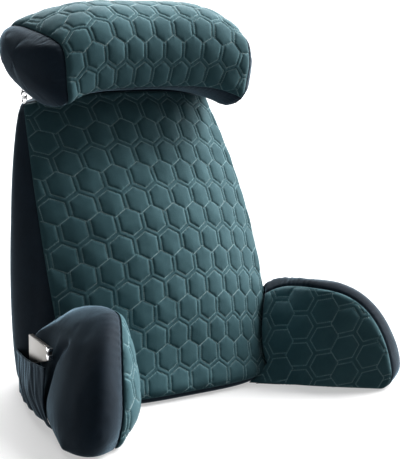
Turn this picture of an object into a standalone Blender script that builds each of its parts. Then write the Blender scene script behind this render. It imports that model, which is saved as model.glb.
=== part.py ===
"""Reading pillow with arms: a wedge-shaped back cushion with a quilted velvet
front, two half-moon arms with quilted inner faces, and a bolster headrest
hooked to the top corners.  Metres, +Z up, the front faces -Y.  The origin is
on the floor under the middle of the pillow's bounding box.
"""

import math

import bpy
import numpy as np
from mathutils.geometry import delaunay_2d_cdt

# ------------------------------------------------------------ driving sizes
GAP = 0.0003              # air between two pieces that touch
SHIFT = np.array((-0.0215, 0.1940, 0.0))   # from the corner seams to the origin

BACK_HEIGHT = 0.495       # top seam of the quilted front
BACK_WIDEST = 0.2203      # half width between the front seams, at its widest
WIDEST_AT = 0.215         # height of the widest place
TAPER = 0.33              # how fast the front narrows away from there
LEAN_FOOT = 0.185         # how far the front seams stand out at the floor
LEAN_BEND = 0.106         # part of that lean that curves the seam
CROWN = 0.050             # bulge of the front between its seams
CROWN_FADE = 0.3          # share of the crown that is gone at the top seam
FADE_FROM = 0.6           # share of the height where it starts to go
REAR = 0.045              # plane of the rear, behind the top seams
REAR_SAG = 0.032          # the rear's lower part sags back by this much,
SAG_TOP = 0.300           # from this height down
FOOT_BULGE = 0.024        # and the front's lowest part forward by this much,
BULGE_TOP = 0.100         # from this height down
SIDE_BULGE = 0.038        # the side gussets swell by this much near the floor
SIDE_EASE = 0.6           # how fast that swelling comes in from the top
FOOT_ROUND = 0.030        # rolled lower edge
TOP_ROUND = 0.014         # rolled upper edge

PITCH = 0.0465            # quilting: hexagon to hexagon along a row
CHANNEL = PITCH / 6       # stitched channel between two hexagons
QUILT_EDGE = 0.0020       # quilted cloth at its seams and stitch lines
QUILT_MID = 0.0048        # half way up a hexagon's pad
QUILT_TOP = 0.0062        # middle of a hexagon's pad
PAD_MID = 0.62            # size of the half-way line, in hexagons
SEAM_CLEAR = 0.0035       # no point of the quilting lies closer to a seam
SEAM_REACH = 0.016        # within this of a seam the pads are lower

ARM_HEIGHT = 0.174        # seam height of an arm's inner face
ARM_PEAK = 0.100          # how far from the root the seam is highest
ARM_DROP = (0.026, 0.015) # fall to the root, of the inner seam and the ridge
ARM_BURIED = 0.100        # length of the root before it is cut to the back
ARM_CROWN = 0.012         # bulge of an arm's faces
OUTER_CROWN = 0.7         # share of it on the outer face
CROWN_FOOT = 0.050        # it comes in over this height from the floor
NOSE_POWER = 2.4          # an arm's outline is a blunt ellipse of this power
ARM_GUSSET = 0.016        # bulge of the gusset
GUSSET_FOOT = 0.030       # it comes in over this height from the floor
ARM_FALL = 0.13           # the outer seam is lower by this share
ROOT_REACH = 0.070        # the root's inner face leans out over this length,
ROOT_FOOT = 0.030         # by this much at the floor
ROOT_SKIRT = 0.035        # height over which that starts from nothing
ENVELOPE_AIR = 0.0020     # air between an arm's root and the back's quilting
ARM_THIN = 0.030          # an arm is nowhere thinner than this
FRONT_AIR = 0.004         # its quilting ends this far from the back's
SHOULDER = 0.150          # height of the second outer column below
ARM_OUTER = (             # along the arm, outer face at the floor and shoulder
    (-0.10, 0.060, 0.100),
    (-0.02, 0.100, 0.145),
    (0.000, 0.115, 0.132),
    (0.030, 0.130, 0.112),
    (0.070, 0.128, 0.098),
    (0.120, 0.117, 0.081),
    (0.170, 0.106, 0.066),
    (0.255, 0.090, 0.048),
)
ROLL_TOP = 0.065          # an arm's faces roll in below this height
ARMS = {                  # side, splay from straight ahead, root, length from
                          # the peak to the gusset's tip, how far the seams
                          # lie back from it, the toe, how far the inner face
                          # draws in at its top, how far its root leans, how
                          # far the inner and outer faces roll in at the floor,
                          # and how much fuller and taller its filling makes it
    "left": dict(side=-1, splay=32.0, root=(-0.138, -0.251), nose=0.155, back=0.034,
                 toe=(0.030, 0.045), oval=0.005, lean=0.034, roll=(0.016, 0.004),
                 full=1.70, tall=1.11),
    "right": dict(side=1, splay=47.7, root=(0.141, -0.254), nose=0.139, back=0.004,
                  toe=(0.020, 0.030), oval=0.022, lean=0.085, roll=(0.006, 0.006),
                  full=1.0, tall=1.0),
}

HEAD_HALF = 0.193         # half length between the headrest's end seams
HEAD_DOME = 0.038         # bulge of its ends
HEAD_MID = (0.000, -0.030, 0.612)   # middle of its spine
HEAD_ARCH = (-0.012, -0.030)        # its ends come forward and droop by this
HEAD_TURN = 0.10          # slope of the end seams in plan
HEAD_PLUMP = 0.22         # its right end is this much fuller on top
HEAD_SECTION = [          # forward and up at the middle, then at the ends,
                          # from the lower front seam, over the top
    (0.084, -0.077, 0.097, -0.071),
    (0.102, -0.042, 0.098, -0.040),
    (0.106, -0.004, 0.096, -0.005),
    (0.093, 0.034, 0.087, 0.022),
    (0.056, 0.059, 0.061, 0.036),
    (0.010, 0.068, 0.010, 0.049),
    (-0.040, 0.061, -0.055, 0.059),
    (-0.080, 0.034, -0.088, 0.045),
    (-0.092, -0.006, -0.090, 0.014),
    (-0.080, -0.050, -0.068, -0.022),
    (-0.040, -0.088, -0.022, -0.050),
    (0.030, -0.098, 0.040, -0.075),
]
HEAD_QUILT_ENDS = 0.54    # share of the section that is quilted

ARM_PHASE = {"left": (0.069, 0.080), "right": (0.069, 0.056)}
ARM_TILT = 0.25           # the rows of an arm's quilting climb by this slope


# ------------------------------------------------------------------- helpers
def clear_scene():
    for thing in list(bpy.data.objects):
        bpy.data.objects.remove(thing, do_unlink=True)


def material(name, colour, roughness, metallic=0.0):
    mat = bpy.data.materials.new(name)
    mat.use_nodes = True
    shader = mat.node_tree.nodes["Principled BSDF"]
    shader.inputs["Base Color"].default_value = (*colour, 1.0)
    shader.inputs["Roughness"].default_value = roughness
    shader.inputs["Metallic"].default_value = metallic
    return mat


def solid(name, points, faces, mat):
    mesh = bpy.data.meshes.new(name)
    mesh.from_pydata([tuple(p) for p in np.asarray(points) + SHIFT], [], faces)
    mesh.validate()
    mesh.update()
    mesh.shade_smooth()
    obj = bpy.data.objects.new(name, mesh)
    obj.data.materials.append(mat)
    bpy.context.collection.objects.link(obj)
    return obj


def split(a, b, c, d):
    """Two triangles of a four-cornered face, cut from its first corner."""
    return [(a, b, c), (a, c, d)]


def loft_faces(rings, around):
    """Faces between rings of equal count; ring 0 is the lowest, seen from
    outside the points of a ring run to the right."""
    faces = []
    for r in range(rings - 1):
        for k in range(around):
            n = (k + 1) % around
            low, high = r * around, (r + 1) * around
            faces += split(low + k, low + n, high + n, high + k)
    return faces


def fan(ring, centre, flip=False):
    faces = []
    for k, point in enumerate(ring):
        after = ring[(k + 1) % len(ring)]
        faces.append((after, point, centre) if flip else (point, after, centre))
    return faces


# -------------------------------------------------------------- back cushion
def foot_inset(z):
    if z >= FOOT_ROUND:
        return 0.0
    return FOOT_ROUND - math.sqrt(FOOT_ROUND**2 - (FOOT_ROUND - z)**2)


def top_inset(z):
    over = z - BACK_HEIGHT
    if over <= 0:
        return 0.0
    return TOP_ROUND - math.sqrt(max(TOP_ROUND**2 - over**2, 0.0))


def half_width(z):
    free = BACK_WIDEST - TAPER * (z - WIDEST_AT)**2
    return free - foot_inset(z) - top_inset(z)


def seam_depth(z):
    down = max(1 - z / BACK_HEIGHT, 0.0)
    lean = (LEAN_FOOT + LEAN_BEND) * down - LEAN_BEND * down**2
    bulge = FOOT_BULGE * max(1 - z / BULGE_TOP, 0)**2
    return -lean - bulge + foot_inset(z) + top_inset(z)


def crown(z):
    over = max(z / BACK_HEIGHT - FADE_FROM, 0) / (1 - FADE_FROM)
    return CROWN * (1 - CROWN_FADE * over)


def rear_depth(z):
    low = max(1 - z / SAG_TOP, 0)
    return REAR + REAR_SAG * low - foot_inset(z) - top_inset(z)


def front_point(s, z):
    """Point of the front, s from -1 at the left seam to 1 at the right one."""
    y = seam_depth(z) - crown(z) * (1 - abs(s)**3)
    return np.array((s * half_width(z), y, z))


SIDE_SHARES = (0.14, 0.28, 0.42, 0.56, 0.69, 0.80, 0.89)
REAR_SHARES = (0.78, 0.55, 0.30)


def rear_track():
    """Shares of half width and depth from the right seam round to the left."""
    side = [((1 - f**4)**0.25, f) for f in SIDE_SHARES]
    rear = [(f, (1 - f**4)**0.25) for f in REAR_SHARES]
    half = side + rear
    return half + [(0.0, 1.0)] + [(-x, y) for x, y in reversed(half)]


REAR_TRACK = rear_track()


def side_point(share, z):
    """Point of the sides and rear, boxy with round rear corners."""
    across, back = share
    depth = rear_depth(z) - seam_depth(z)
    high = max(1 - z / BACK_HEIGHT, 0)**SIDE_EASE
    swell = SIDE_BULGE * high * math.sin(math.pi * back)
    return np.array((across * (half_width(z) + swell), seam_depth(z) + depth * back, z))


FRONT_STEPS = 16
LEVELS = [0.0, 0.004, 0.012, 0.022, 0.034, 0.055, 0.085, 0.12, 0.155, 0.19, 0.225,
          0.26, 0.295, 0.33, 0.365, 0.40, 0.435, 0.468, 0.495, 0.503, 0.508]


def back_ring(z):
    """One level of the cushion: the front from left to right, then the rear."""
    front = [front_point(-1 + 2 * i / FRONT_STEPS, z) for i in range(FRONT_STEPS + 1)]
    return front + [side_point(share, z) for share in REAR_TRACK]


def back_mesh():
    rings = [back_ring(z) for z in LEVELS]
    around = len(rings[0])
    points = [p for ring in rings for p in ring]
    faces = loft_faces(len(rings), around)
    last = len(points) - around
    foot = np.mean(rings[0], axis=0)
    top = np.mean(rings[-1], axis=0) + (0, 0, 0.002)
    points += [foot, top]
    faces += fan(range(around), len(points) - 2, flip=True)
    faces += fan(range(last, last + around), len(points) - 1)
    return points, faces, around


def vertex_normals(points, faces):
    points = np.asarray(points)
    normals = np.zeros_like(points)
    for face in faces:
        a, b, c = (points[i] for i in face)
        n = np.cross(b - a, c - a)
        for i in face:
            normals[i] += n
    return normals / np.linalg.norm(normals, axis=1)[:, None]


# ------------------------------------------------------------------ quilting
ROW_IN_PAIR = 0.770       # rows of a pair, and pair to pair, in pitches
PAIR_STEP = 1.7325


def lattice(lay, low, high):
    """Centres of the stitched hexagons round an outline, in pitches.  Rows
    come in pairs: the two rows of a pair share their slanted walls, and a
    channel parts each pair from the next."""
    cells = []
    for pair in range(-9, 10):
        for row, drop in ((0, 0.0), (1, -ROW_IN_PAIR)):
            for column in range(-9, 10):
                cell = (column + row / 2, pair * PAIR_STEP + drop)
                spot = lay(*cell)
                if np.all(spot > low - PITCH) and np.all(spot < high + PITCH):
                    cells.append(cell)
    return cells


def hexagon(scale):
    """Corners of a stitched hexagon in pitches, point up."""
    flat = (1 - CHANNEL / PITCH) / 2 * scale
    wall = 1 / math.sqrt(3) / 2 * scale
    tip = wall + flat / math.sqrt(3)
    return [(flat, wall), (0, tip), (-flat, wall), (-flat, -wall), (0, -tip), (flat, -wall)]


def straight_lay(origin, turned=False, tilt=0.0):
    """Flat quilting: pitches to metres, with the rows upright where turned."""
    def lay(u, v):
        a, b = (v * PITCH, u * PITCH) if turned else (u * PITCH, v * PITCH)
        return np.array((a, b + tilt * a)) + origin
    return lay


def edge_distance(point, loop):
    a = np.asarray(loop)
    b = np.roll(a, -1, axis=0)
    t = np.clip(((point - a) * (b - a)).sum(1) / ((b - a)**2).sum(1), 0, 1)
    return np.linalg.norm(a + t[:, None] * (b - a) - point, axis=1).min()


def inside(point, loop):
    x, y = point
    hit = False
    for (x1, y1), (x2, y2) in zip(loop, np.roll(loop, -1, axis=0)):
        if (y1 > y) != (y2 > y) and x < x1 + (y - y1) / (y2 - y1) * (x2 - x1):
            hit = not hit
    return hit


def quilt_points(loop, lay):
    """Flat positions and heights of the quilting inside an outline."""
    loop = np.asarray(loop)
    found = []
    for cell in lattice(lay, loop.min(0), loop.max(0)):
        for scale, height in ((0, QUILT_TOP), (PAD_MID, QUILT_MID), (1, QUILT_EDGE)):
            corners = [(0, 0)] if scale == 0 else hexagon(scale)
            for du, dv in corners:
                spot = lay(cell[0] + du, cell[1] + dv)
                if not inside(spot, loop):
                    continue
                reach = edge_distance(spot, loop)
                if reach < SEAM_CLEAR:
                    continue
                flat = min(reach / SEAM_REACH, 1)
                found.append((spot, QUILT_EDGE + (height - QUILT_EDGE) * flat))
    return found


def quilted_panel(name, patch, surface, lay, mat):
    """A closed sheet over a patch of a cushion.  patch holds the cushion's
    own points and faces there, their flat positions, and the rim in order."""
    nodes, normals, faces, flat, rim = patch
    loop = [flat[i] for i in rim]
    spots = quilt_points(loop, lay)
    under = [p + GAP * n for p, n in zip(nodes, normals)]
    edge = [nodes[i] + (GAP + QUILT_EDGE) * normals[i] for i in rim]
    count = len(rim)
    flat_all = [tuple(p) for p in loop] + [tuple(s) for s, _ in spots]
    ring = [(i, (i + 1) % count) for i in range(count)]
    verts, _, tris, origin, _, _ = delaunay_2d_cdt(flat_all, ring, [], 1, 1e-7)
    top = list(edge)
    for spot, height in spots:
        place, normal = surface(spot)
        top.append(place + (GAP + height) * normal)
    index = {}
    for new, old in enumerate(origin):
        index[new] = old[0]
    points = under + top
    base = len(under)
    body = [tuple(reversed(f)) for f in faces]
    for a, b in ring:
        body.append((rim[a], rim[b], base + b, base + a))
    for tri in tris:
        ids = [index[i] for i in tri]
        (ax, ay), (bx, by), (cx, cy) = (flat_all[i] for i in ids)
        if (bx - ax) * (cy - ay) - (by - ay) * (cx - ax) < 0:
            ids.reverse()
        body.append(tuple(base + i for i in ids))
    return solid(name, points, body, mat)


def grid_rim(columns, rows):
    """Outer points of a grid, counter-clockwise from its lower left."""
    rim = list(range(columns))
    rim += [r * columns + columns - 1 for r in range(1, rows)]
    rim += [(rows - 1) * columns + k for k in range(columns - 2, -1, -1)]
    rim += [r * columns for r in range(rows - 2, 0, -1)]
    return rim


# ------------------------------------------------------- quilted front panel
def level_length(z):
    """Length along the middle of the front from the panel's lower edge."""
    steps = np.linspace(LEVELS[2], z, 60)
    line = np.array([front_point(0, h)[1:] for h in steps])
    return np.linalg.norm(np.diff(line, axis=0), axis=1).sum()


PANEL_TOP = 0.503
HEIGHTS = np.linspace(LEVELS[2], PANEL_TOP, 120)
LENGTHS = np.array([level_length(h) for h in HEIGHTS])


def across_length(s, z):
    steep = (3 * crown(z) / half_width(z))**2
    return half_width(z) * s * (1 + steep * s**4 / 10)


def front_flat(s, z):
    return np.array((across_length(s, z), np.interp(z, HEIGHTS, LENGTHS)))


def front_surface(spot):
    a, b = spot
    z = float(np.interp(b, LENGTHS, HEIGHTS))
    s = a / half_width(z)
    for _ in range(4):
        s -= (across_length(s, z) - a) / half_width(z)
    small = 1e-4
    across = front_point(s + small, z) - front_point(s - small, z)
    up = front_point(s, z + small) - front_point(s, z - small)
    normal = np.cross(across, up)
    return front_point(s, z), normal / np.linalg.norm(normal)


def front_lay(u, v):
    """The front's quilting, pulled a little out of square by the filling."""
    u, v = u + 0.5, v + 0.3025
    a = 0.0245 + 0.0447 * u - 0.0009 * u * u + 0.0026 * v + 0.0005 * u * v - 0.0008 * v * v
    b = 0.2489 + 0.0476 * v + 0.0002 * v * v - 0.0005 * u - 0.0009 * u * u
    return np.array((a, b))


def front_patch(points, normals, around):
    rows = range(2, LEVELS.index(PANEL_TOP) + 1)
    columns = FRONT_STEPS + 1
    nodes, ups, flat, faces = [], [], [], []
    for r in rows:
        for k in range(columns):
            nodes.append(points[r * around + k])
            ups.append(normals[r * around + k])
            flat.append(front_flat(-1 + 2 * k / FRONT_STEPS, LEVELS[r]))
    count = len(rows)
    for r in range(count - 1):
        for k in range(columns - 1):
            i = r * columns + k
            faces += split(i, i + 1, i + columns + 1, i + columns)
    return nodes, ups, faces, flat, grid_rim(columns, count)


def quilt_envelope(points, normals, around):
    """The back cushion with its quilting at full height, to shape the arms."""
    shaped = []
    for i, (p, n) in enumerate(zip(points, normals)):
        k = i % around
        if i < len(points) - 2 and k <= FRONT_STEPS:
            seam = k in (0, FRONT_STEPS)
            lift = ENVELOPE_AIR + (QUILT_MID if seam else QUILT_TOP)
        else:
            lift = GAP
        shaped.append(p + lift * n)
    return shaped


# ---------------------------------------------------------------------- arms
FLOOR_STEPS, TOE_STEPS, NOSE_STEPS, TOP_STEPS, ROOT_STEPS = 7, 4, 9, 8, 6
FACE_RINGS = (0.30, 0.55, 0.76, 0.90, 0.965)
GUSSET_RINGS = (0.0, 0.08, 0.22, 0.40, 0.60, 0.78, 0.92, 1.0)
FACE_MIDDLE = np.array((0.07, 0.080))


def arm_top(s, share=0.0):
    """Height of an arm's top behind its peak, at a share of its thickness."""
    seam, ridge = ARM_DROP
    drop = seam + (ridge - seam) * min(share / 0.4, 1)
    return ARM_HEIGHT - drop * ((ARM_PEAK - s) / ARM_PEAK)**2


def arm_frame(arm):
    turn = math.radians(arm["splay"])
    along = np.array((arm["side"] * math.sin(turn), -math.cos(turn), 0.0))
    out = np.array((arm["side"] * math.cos(turn), math.sin(turn), 0.0))
    return np.array((*arm["root"], 0.0)), along, out


def arm_crown(arm, s, z):
    """How far an arm's face swells out of its seams."""
    nose = arm["nose"] - arm["back"]
    reach = (max(s - ARM_PEAK, 0) / nose)**NOSE_POWER + (z / ARM_HEIGHT)**2
    foot = min(z / CROWN_FOOT, 1)
    return ARM_CROWN * arm["full"] * max(1 - reach**1.8, 0) * (1 - (1 - foot)**2)


def floor_roll(depth, z):
    return depth * max(1 - z / ROLL_TOP, 0)**2


def arm_inner(arm, s, z):
    """Distance of the inner face from the root's upright plane."""
    root = math.exp(-(max(s, 0) / ROOT_REACH)**2)
    high = z / ARM_HEIGHT
    foot = ROOT_FOOT * (1 - max(1 - z / ROOT_SKIRT, 0)**2)
    lean = arm["oval"] * high**2 + (foot + arm["lean"] * high) * root
    return lean + floor_roll(arm["roll"][0], z) - arm_crown(arm, s, z)


def arm_outer(arm, s, z):
    places, low, high = zip(*ARM_OUTER)
    foot = np.interp(s, places, low)
    lean = (np.interp(s, places, high) - foot) * (z / SHOULDER)**1.3
    return foot + lean - floor_roll(arm["roll"][1], z) + OUTER_CROWN * arm_crown(arm, s, z)


def arm_point(arm, s, z, share=0.0):
    """Point of an arm, share 0 on the inner face and 1 on the outer one."""
    root, along, out = arm_frame(arm)
    inner = arm_inner(arm, s, z)
    outer = max(arm_outer(arm, s, z), inner + ARM_THIN)
    away = inner + (outer - inner) * share
    return root + s * along + away * out + (0, 0, z * arm["tall"])


def behind_front(arm, s, z):
    """Whether the inner face is still behind the quilted front there."""
    x, y, high = arm_point(arm, s, z)
    share = min(abs(x) / half_width(high), 1)
    return y > seam_depth(high) - crown(high) * (1 - share**3) - QUILT_TOP - FRONT_AIR


def clear_of_front(arm, z):
    """Where an arm's inner face first comes out of the quilted front."""
    s = -ARM_BURIED
    for step in (0.006, 0.001, 0.0002):
        while behind_front(arm, s + step, z):
            s += step
    return s + FRONT_AIR / 2


def arm_line(arm, share):
    """Outline of an arm at a share of its thickness, counter-clockwise from
    the root: along the floor, round the toe and nose, back along the top and
    down the root.  The middle of the gusset reaches furthest."""
    reach = arm["nose"] - arm["back"] * abs(2 * share - 1)**2.2
    toe_long, toe_high = arm["toe"]
    heel = ARM_PEAK + reach - toe_long
    fall = 1 - ARM_FALL * share
    deep = min(share / 0.3, 1)

    def start(z):
        clear = clear_of_front(arm, max(z, FOOT_ROUND))
        return (1 - deep) * clear - deep * (ARM_BURIED - 0.035 * share)

    line = [(start(0) + (heel - start(0)) * i / FLOOR_STEPS, 0) for i in range(FLOOR_STEPS)]
    for i in range(TOE_STEPS):
        turn = math.pi / 2 * i / TOE_STEPS
        line.append((heel + toe_long * math.sin(turn), toe_high * (1 - math.cos(turn))))
    first = math.asin(toe_high / ARM_HEIGHT)
    for i in range(NOSE_STEPS):
        turn = first + (math.pi / 2 - first) * i / NOSE_STEPS
        bend = math.cos(turn) / math.cos(first)
        high = ARM_HEIGHT * math.sin(turn)
        line.append((ARM_PEAK + reach * bend**(2 / NOSE_POWER), high * fall))
    corner = start(arm_top(start(ARM_HEIGHT - ARM_DROP[0]), share) * fall)
    for i in range(TOP_STEPS):
        s = ARM_PEAK + (corner - ARM_PEAK) * i / TOP_STEPS
        line.append((s, arm_top(s, share) * fall))
    high = arm_top(corner, share) * fall
    for i in range(ROOT_STEPS):
        z = high * (1 - i / ROOT_STEPS)
        line.append((start(z), z))
    return np.array(line)


def outline_normals(line):
    tangent = np.roll(line, -1, axis=0) - np.roll(line, 1, axis=0)
    normal = np.stack([tangent[:, 1], -tangent[:, 0]], axis=1)
    return normal / np.linalg.norm(normal, axis=1)[:, None]


def face_flat(arm, share):
    """Flat positions of a face's inner rings, smallest first."""
    line = arm_line(arm, share)
    return [FACE_MIDDLE + (line - FACE_MIDDLE) * scale for scale in FACE_RINGS]


def arm_gusset_ring(arm, share):
    line = arm_line(arm, share)
    bulge = ARM_GUSSET * math.sin(math.pi * share)**0.8 if 0 < share < 1 else 0
    ring = []
    for (s, z), (ns, nz) in zip(line, outline_normals(line)):
        free = bulge * min(z / GUSSET_FOOT, 1)
        forward = free * ns if s > ARM_PEAK else 0
        ring.append(arm_point(arm, s + forward, z + nz * free, share))
    return ring


def arm_mesh(arm):
    """Rings from the middle of the outer face, over the gusset, to the middle
    of the inner face."""
    rings = [[arm_point(arm, *p, 1) for p in ring] for ring in face_flat(arm, 1)]
    rings += [arm_gusset_ring(arm, share) for share in reversed(GUSSET_RINGS)]
    rings += [[arm_point(arm, *p) for p in ring] for ring in reversed(face_flat(arm, 0))]
    around = len(rings[0])
    points = [p for ring in rings for p in ring]
    faces = loft_faces(len(rings), around)
    last = len(points) - around
    points += [arm_point(arm, *FACE_MIDDLE, 1), arm_point(arm, *FACE_MIDDLE)]
    faces += fan(range(around), len(points) - 2, flip=True)
    faces += fan(range(last, last + around), len(points) - 1)
    if arm["side"] < 0:
        faces = [tuple(reversed(f)) for f in faces]
    return points, faces


def arm_surface(arm, spot):
    s, z = spot
    small = 1e-4
    across = arm_point(arm, s + small, z) - arm_point(arm, s - small, z)
    up = arm_point(arm, s, z + small) - arm_point(arm, s, z - small)
    normal = np.cross(across, up) * arm["side"]
    return arm_point(arm, s, z), normal / np.linalg.norm(normal)


def arm_patch(arm):
    """The inner face's own points under its quilting, round its middle."""
    rings = face_flat(arm, 0)
    flat = [FACE_MIDDLE] + [p for ring in rings for p in ring]
    count = len(rings[0])
    faces = [(0, 1 + k, 1 + (k + 1) % count) for k in range(count)]
    for r in range(len(rings) - 1):
        low = 1 + r * count
        for k in range(count):
            n = (k + 1) % count
            faces += split(low + count + k, low + count + n, low + n, low + k)
    spots = [arm_surface(arm, p) for p in flat]
    outer = list(range(len(flat) - count, len(flat)))
    return [p for p, _ in spots], [n for _, n in spots], faces, flat, outer


# ------------------------------------------------------------------ headrest
HEAD_AROUND = 36
HEAD_STATIONS = 15


def section(w, t):
    """Point of the headrest's closed section at t along it, a curve through
    its table."""
    count = len(HEAD_SECTION)
    table = np.array(HEAD_SECTION)
    rows = table[:, :2] * (1 - t**4) + table[:, 2:] * t**4
    k = int(math.floor(w * count))
    f = w * count - k
    p0, p1, p2, p3 = (rows[(k + j) % count] for j in (-1, 0, 1, 2))
    return 0.5 * (2 * p1 + (p2 - p0) * f + (2 * p0 - 5 * p1 + 4 * p2 - p3) * f**2
                  + (3 * p1 - p0 - 3 * p2 + p3) * f**3)


def head_point(t, w, size=1.0, beyond=0.0):
    """Point of the headrest: t along its spine, w round its section."""
    p, q = section(w, t) * size
    q *= 1 + (HEAD_PLUMP * t**3 if t > 0 and q > 0 else 0)
    spine = np.array(HEAD_MID)
    spine += (HEAD_HALF * t + beyond, HEAD_ARCH[0] * t * t, HEAD_ARCH[1] * t**4)
    return spine + (-HEAD_TURN * t * p, -p, q)


def head_mesh():
    """Rings from the right end to the left one, each end domed."""
    dome = [(math.cos(a), HEAD_DOME * math.sin(a)) for a in np.radians((80, 60, 38, 18))]
    stations = [(1.0, size, beyond) for size, beyond in dome]
    stations += [(1 - 2 * i / (HEAD_STATIONS - 1), 1.0, 0.0) for i in range(HEAD_STATIONS)]
    stations += [(-1.0, size, -beyond) for size, beyond in reversed(dome)]
    rings = [[head_point(t, k / HEAD_AROUND, size, beyond) for k in range(HEAD_AROUND)]
             for t, size, beyond in stations]
    points = [p for ring in rings for p in ring]
    faces = loft_faces(len(rings), HEAD_AROUND)
    last = len(points) - HEAD_AROUND
    points += [head_point(1, 0, 0, HEAD_DOME), head_point(-1, 0, 0, -HEAD_DOME)]
    faces += fan(range(HEAD_AROUND), len(points) - 2, flip=True)
    faces += fan(range(last, last + HEAD_AROUND), len(points) - 1)
    return points, faces, len(dome)


ROUND = np.linspace(0, HEAD_QUILT_ENDS, 80)
GIRTH = np.concatenate([[0], np.cumsum(np.linalg.norm(np.diff(
    [section(w, 0.5) for w in ROUND], axis=0), axis=1))])


def head_surface(spot):
    a, b = spot
    t, w = a / HEAD_HALF, float(np.interp(b, GIRTH, ROUND))
    small = 1e-3
    across = head_point(t + small, w) - head_point(t - small, w)
    up = head_point(t, w + small) - head_point(t, w - small)
    normal = np.cross(across, up)
    return head_point(t, w), normal / np.linalg.norm(normal)


def head_lay(u, v):
    """The headrest's quilting, drawn closer along it by the filling."""
    a = 0.0135 + 0.0025 * v + (0.0428 + 0.0022 * v) * u - 0.0003 * u * u
    return np.array((a, 0.1053 + PITCH * v))


def head_patch(points, normals, first):
    """The cushion's own points under the quilting, left to right and up."""
    rows = range(int(HEAD_AROUND * HEAD_QUILT_ENDS) + 1)
    nodes, ups, flat, faces = [], [], [], []
    for k in rows:
        for i in reversed(range(HEAD_STATIONS)):
            index = (first + i) * HEAD_AROUND + k
            nodes.append(points[index])
            ups.append(normals[index])
            t = 1 - 2 * i / (HEAD_STATIONS - 1)
            flat.append(np.array((t * HEAD_HALF, np.interp(k / HEAD_AROUND, ROUND, GIRTH))))
    columns, count = HEAD_STATIONS, len(rows)
    for r in range(count - 1):
        for k in range(columns - 1):
            i = r * columns + k
            faces += split(i + 1, i + columns + 1, i + columns, i)
    return nodes, ups, faces, flat, grid_rim(columns, count)


# ------------------------------------------------------------------ fittings
LINK_RADIUS = 0.00555
LINK_WIRE = 0.0012
LINK_TURN = 0.2           # how far the chain is turned on its foot
CHAIN_FOOT = (0.190, 0.007, 0.5042)   # under the lowest link, right side


def chain(side, mat):
    """Four steel links from the back's top corner up to the headrest."""
    pitch = 2 * LINK_RADIUS - 2 * LINK_WIRE - GAP
    for number in range(4):
        height = CHAIN_FOOT[2] + LINK_RADIUS + LINK_WIRE + number * pitch
        place = np.array((side * CHAIN_FOOT[0], CHAIN_FOOT[1], height)) + SHIFT
        bpy.ops.mesh.primitive_torus_add(
            major_radius=LINK_RADIUS, minor_radius=LINK_WIRE, major_segments=14,
            minor_segments=6, location=place,
            rotation=(math.pi / 2, 0, math.pi / 2 * ((number + 1) % 2) + LINK_TURN))
        link = bpy.context.object
        link.name = f"hook_{'left' if side < 0 else 'right'}_{number + 1}"
        link.data.shade_smooth()
        link.data.materials.append(mat)


POCKET_MOUTH = 0.0940     # height of the side pocket's open edge
POCKET_FOOT = 0.0030
POCKET_REAR = -0.055      # depth of its rear seam
POCKET_FRONT = 0.030      # how far along the arm its front seam lies
POCKET_BULGE = 0.012
POCKET_FLAT = 0.4         # share of the bulge missing at its foot and mouth
POCKET_AIR = (-0.0008, 0.0003)   # its seams lie this far off the side, the arm
POCKET_CLOTH = 0.0020
POCKET_COLUMNS, POCKET_ROWS = 24, 6
GATHERS = 6
GATHER_DEPTH = 0.0015


def side_x(y, z):
    """Half width of the back cushion's side at a depth and height."""
    back = (y - seam_depth(z)) / (rear_depth(z) - seam_depth(z))
    high = max(1 - z / BACK_HEIGHT, 0)**SIDE_EASE
    swell = SIDE_BULGE * high * math.sin(math.pi * back)
    return (half_width(z) + swell) * (1 - back**4)**0.25


def pocket_point(i, j, thick):
    """Point of the gathered pocket between the left side and the left arm."""
    share, high = i / POCKET_COLUMNS, j / POCKET_ROWS
    z = POCKET_FOOT + (POCKET_MOUTH - POCKET_FOOT) * high
    side = side_x(POCKET_REAR, max(z, FOOT_ROUND)) + POCKET_AIR[0]
    rear = np.array((-side, POCKET_REAR, z))
    arm = ARMS["left"]
    out = arm_frame(arm)[2]
    front = arm_point(arm, POCKET_FRONT, z / arm["tall"], 1) + POCKET_AIR[1] * out
    chord = front - rear
    away = np.array((chord[1], -chord[0], 0.0))
    away /= np.linalg.norm(away)
    arch = math.sin(math.pi * share)
    folds = GATHER_DEPTH * math.sin(2 * math.pi * GATHERS * share) * arch
    full = 1 - POCKET_FLAT * (1 - math.sin(math.pi * high))
    return rear + chord * share + away * (POCKET_BULGE * arch * full + folds + thick)


def pocket(mat):
    columns, rows = POCKET_COLUMNS + 1, POCKET_ROWS + 1
    points = [pocket_point(i, j, thick) for thick in (0.0, POCKET_CLOTH)
              for j in range(rows) for i in range(columns)]
    skin = columns * rows
    faces = []
    for j in range(rows - 1):
        for i in range(columns - 1):
            a = j * columns + i
            faces.append((a, a + columns, a + columns + 1, a + 1))
            faces.append(tuple(skin + k for k in (a, a + 1, a + columns + 1, a + columns)))
    rim = grid_rim(columns, rows)
    for a, b in zip(rim, rim[1:] + rim[:1]):
        faces.append((a, b, skin + b, skin + a))
    return solid("pocket_left", points, faces, mat)


PLATE_REAR = (-0.2640, -0.1435)     # outer face of the plate in the pocket, in
PLATE_FRONT = (-0.2840, -0.2260)    # plan, and its lower and upper heights
PLATE_LEVELS = (0.0944, 0.0944, 0.121, 0.127)
PLATE_THICK = 0.0050


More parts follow.
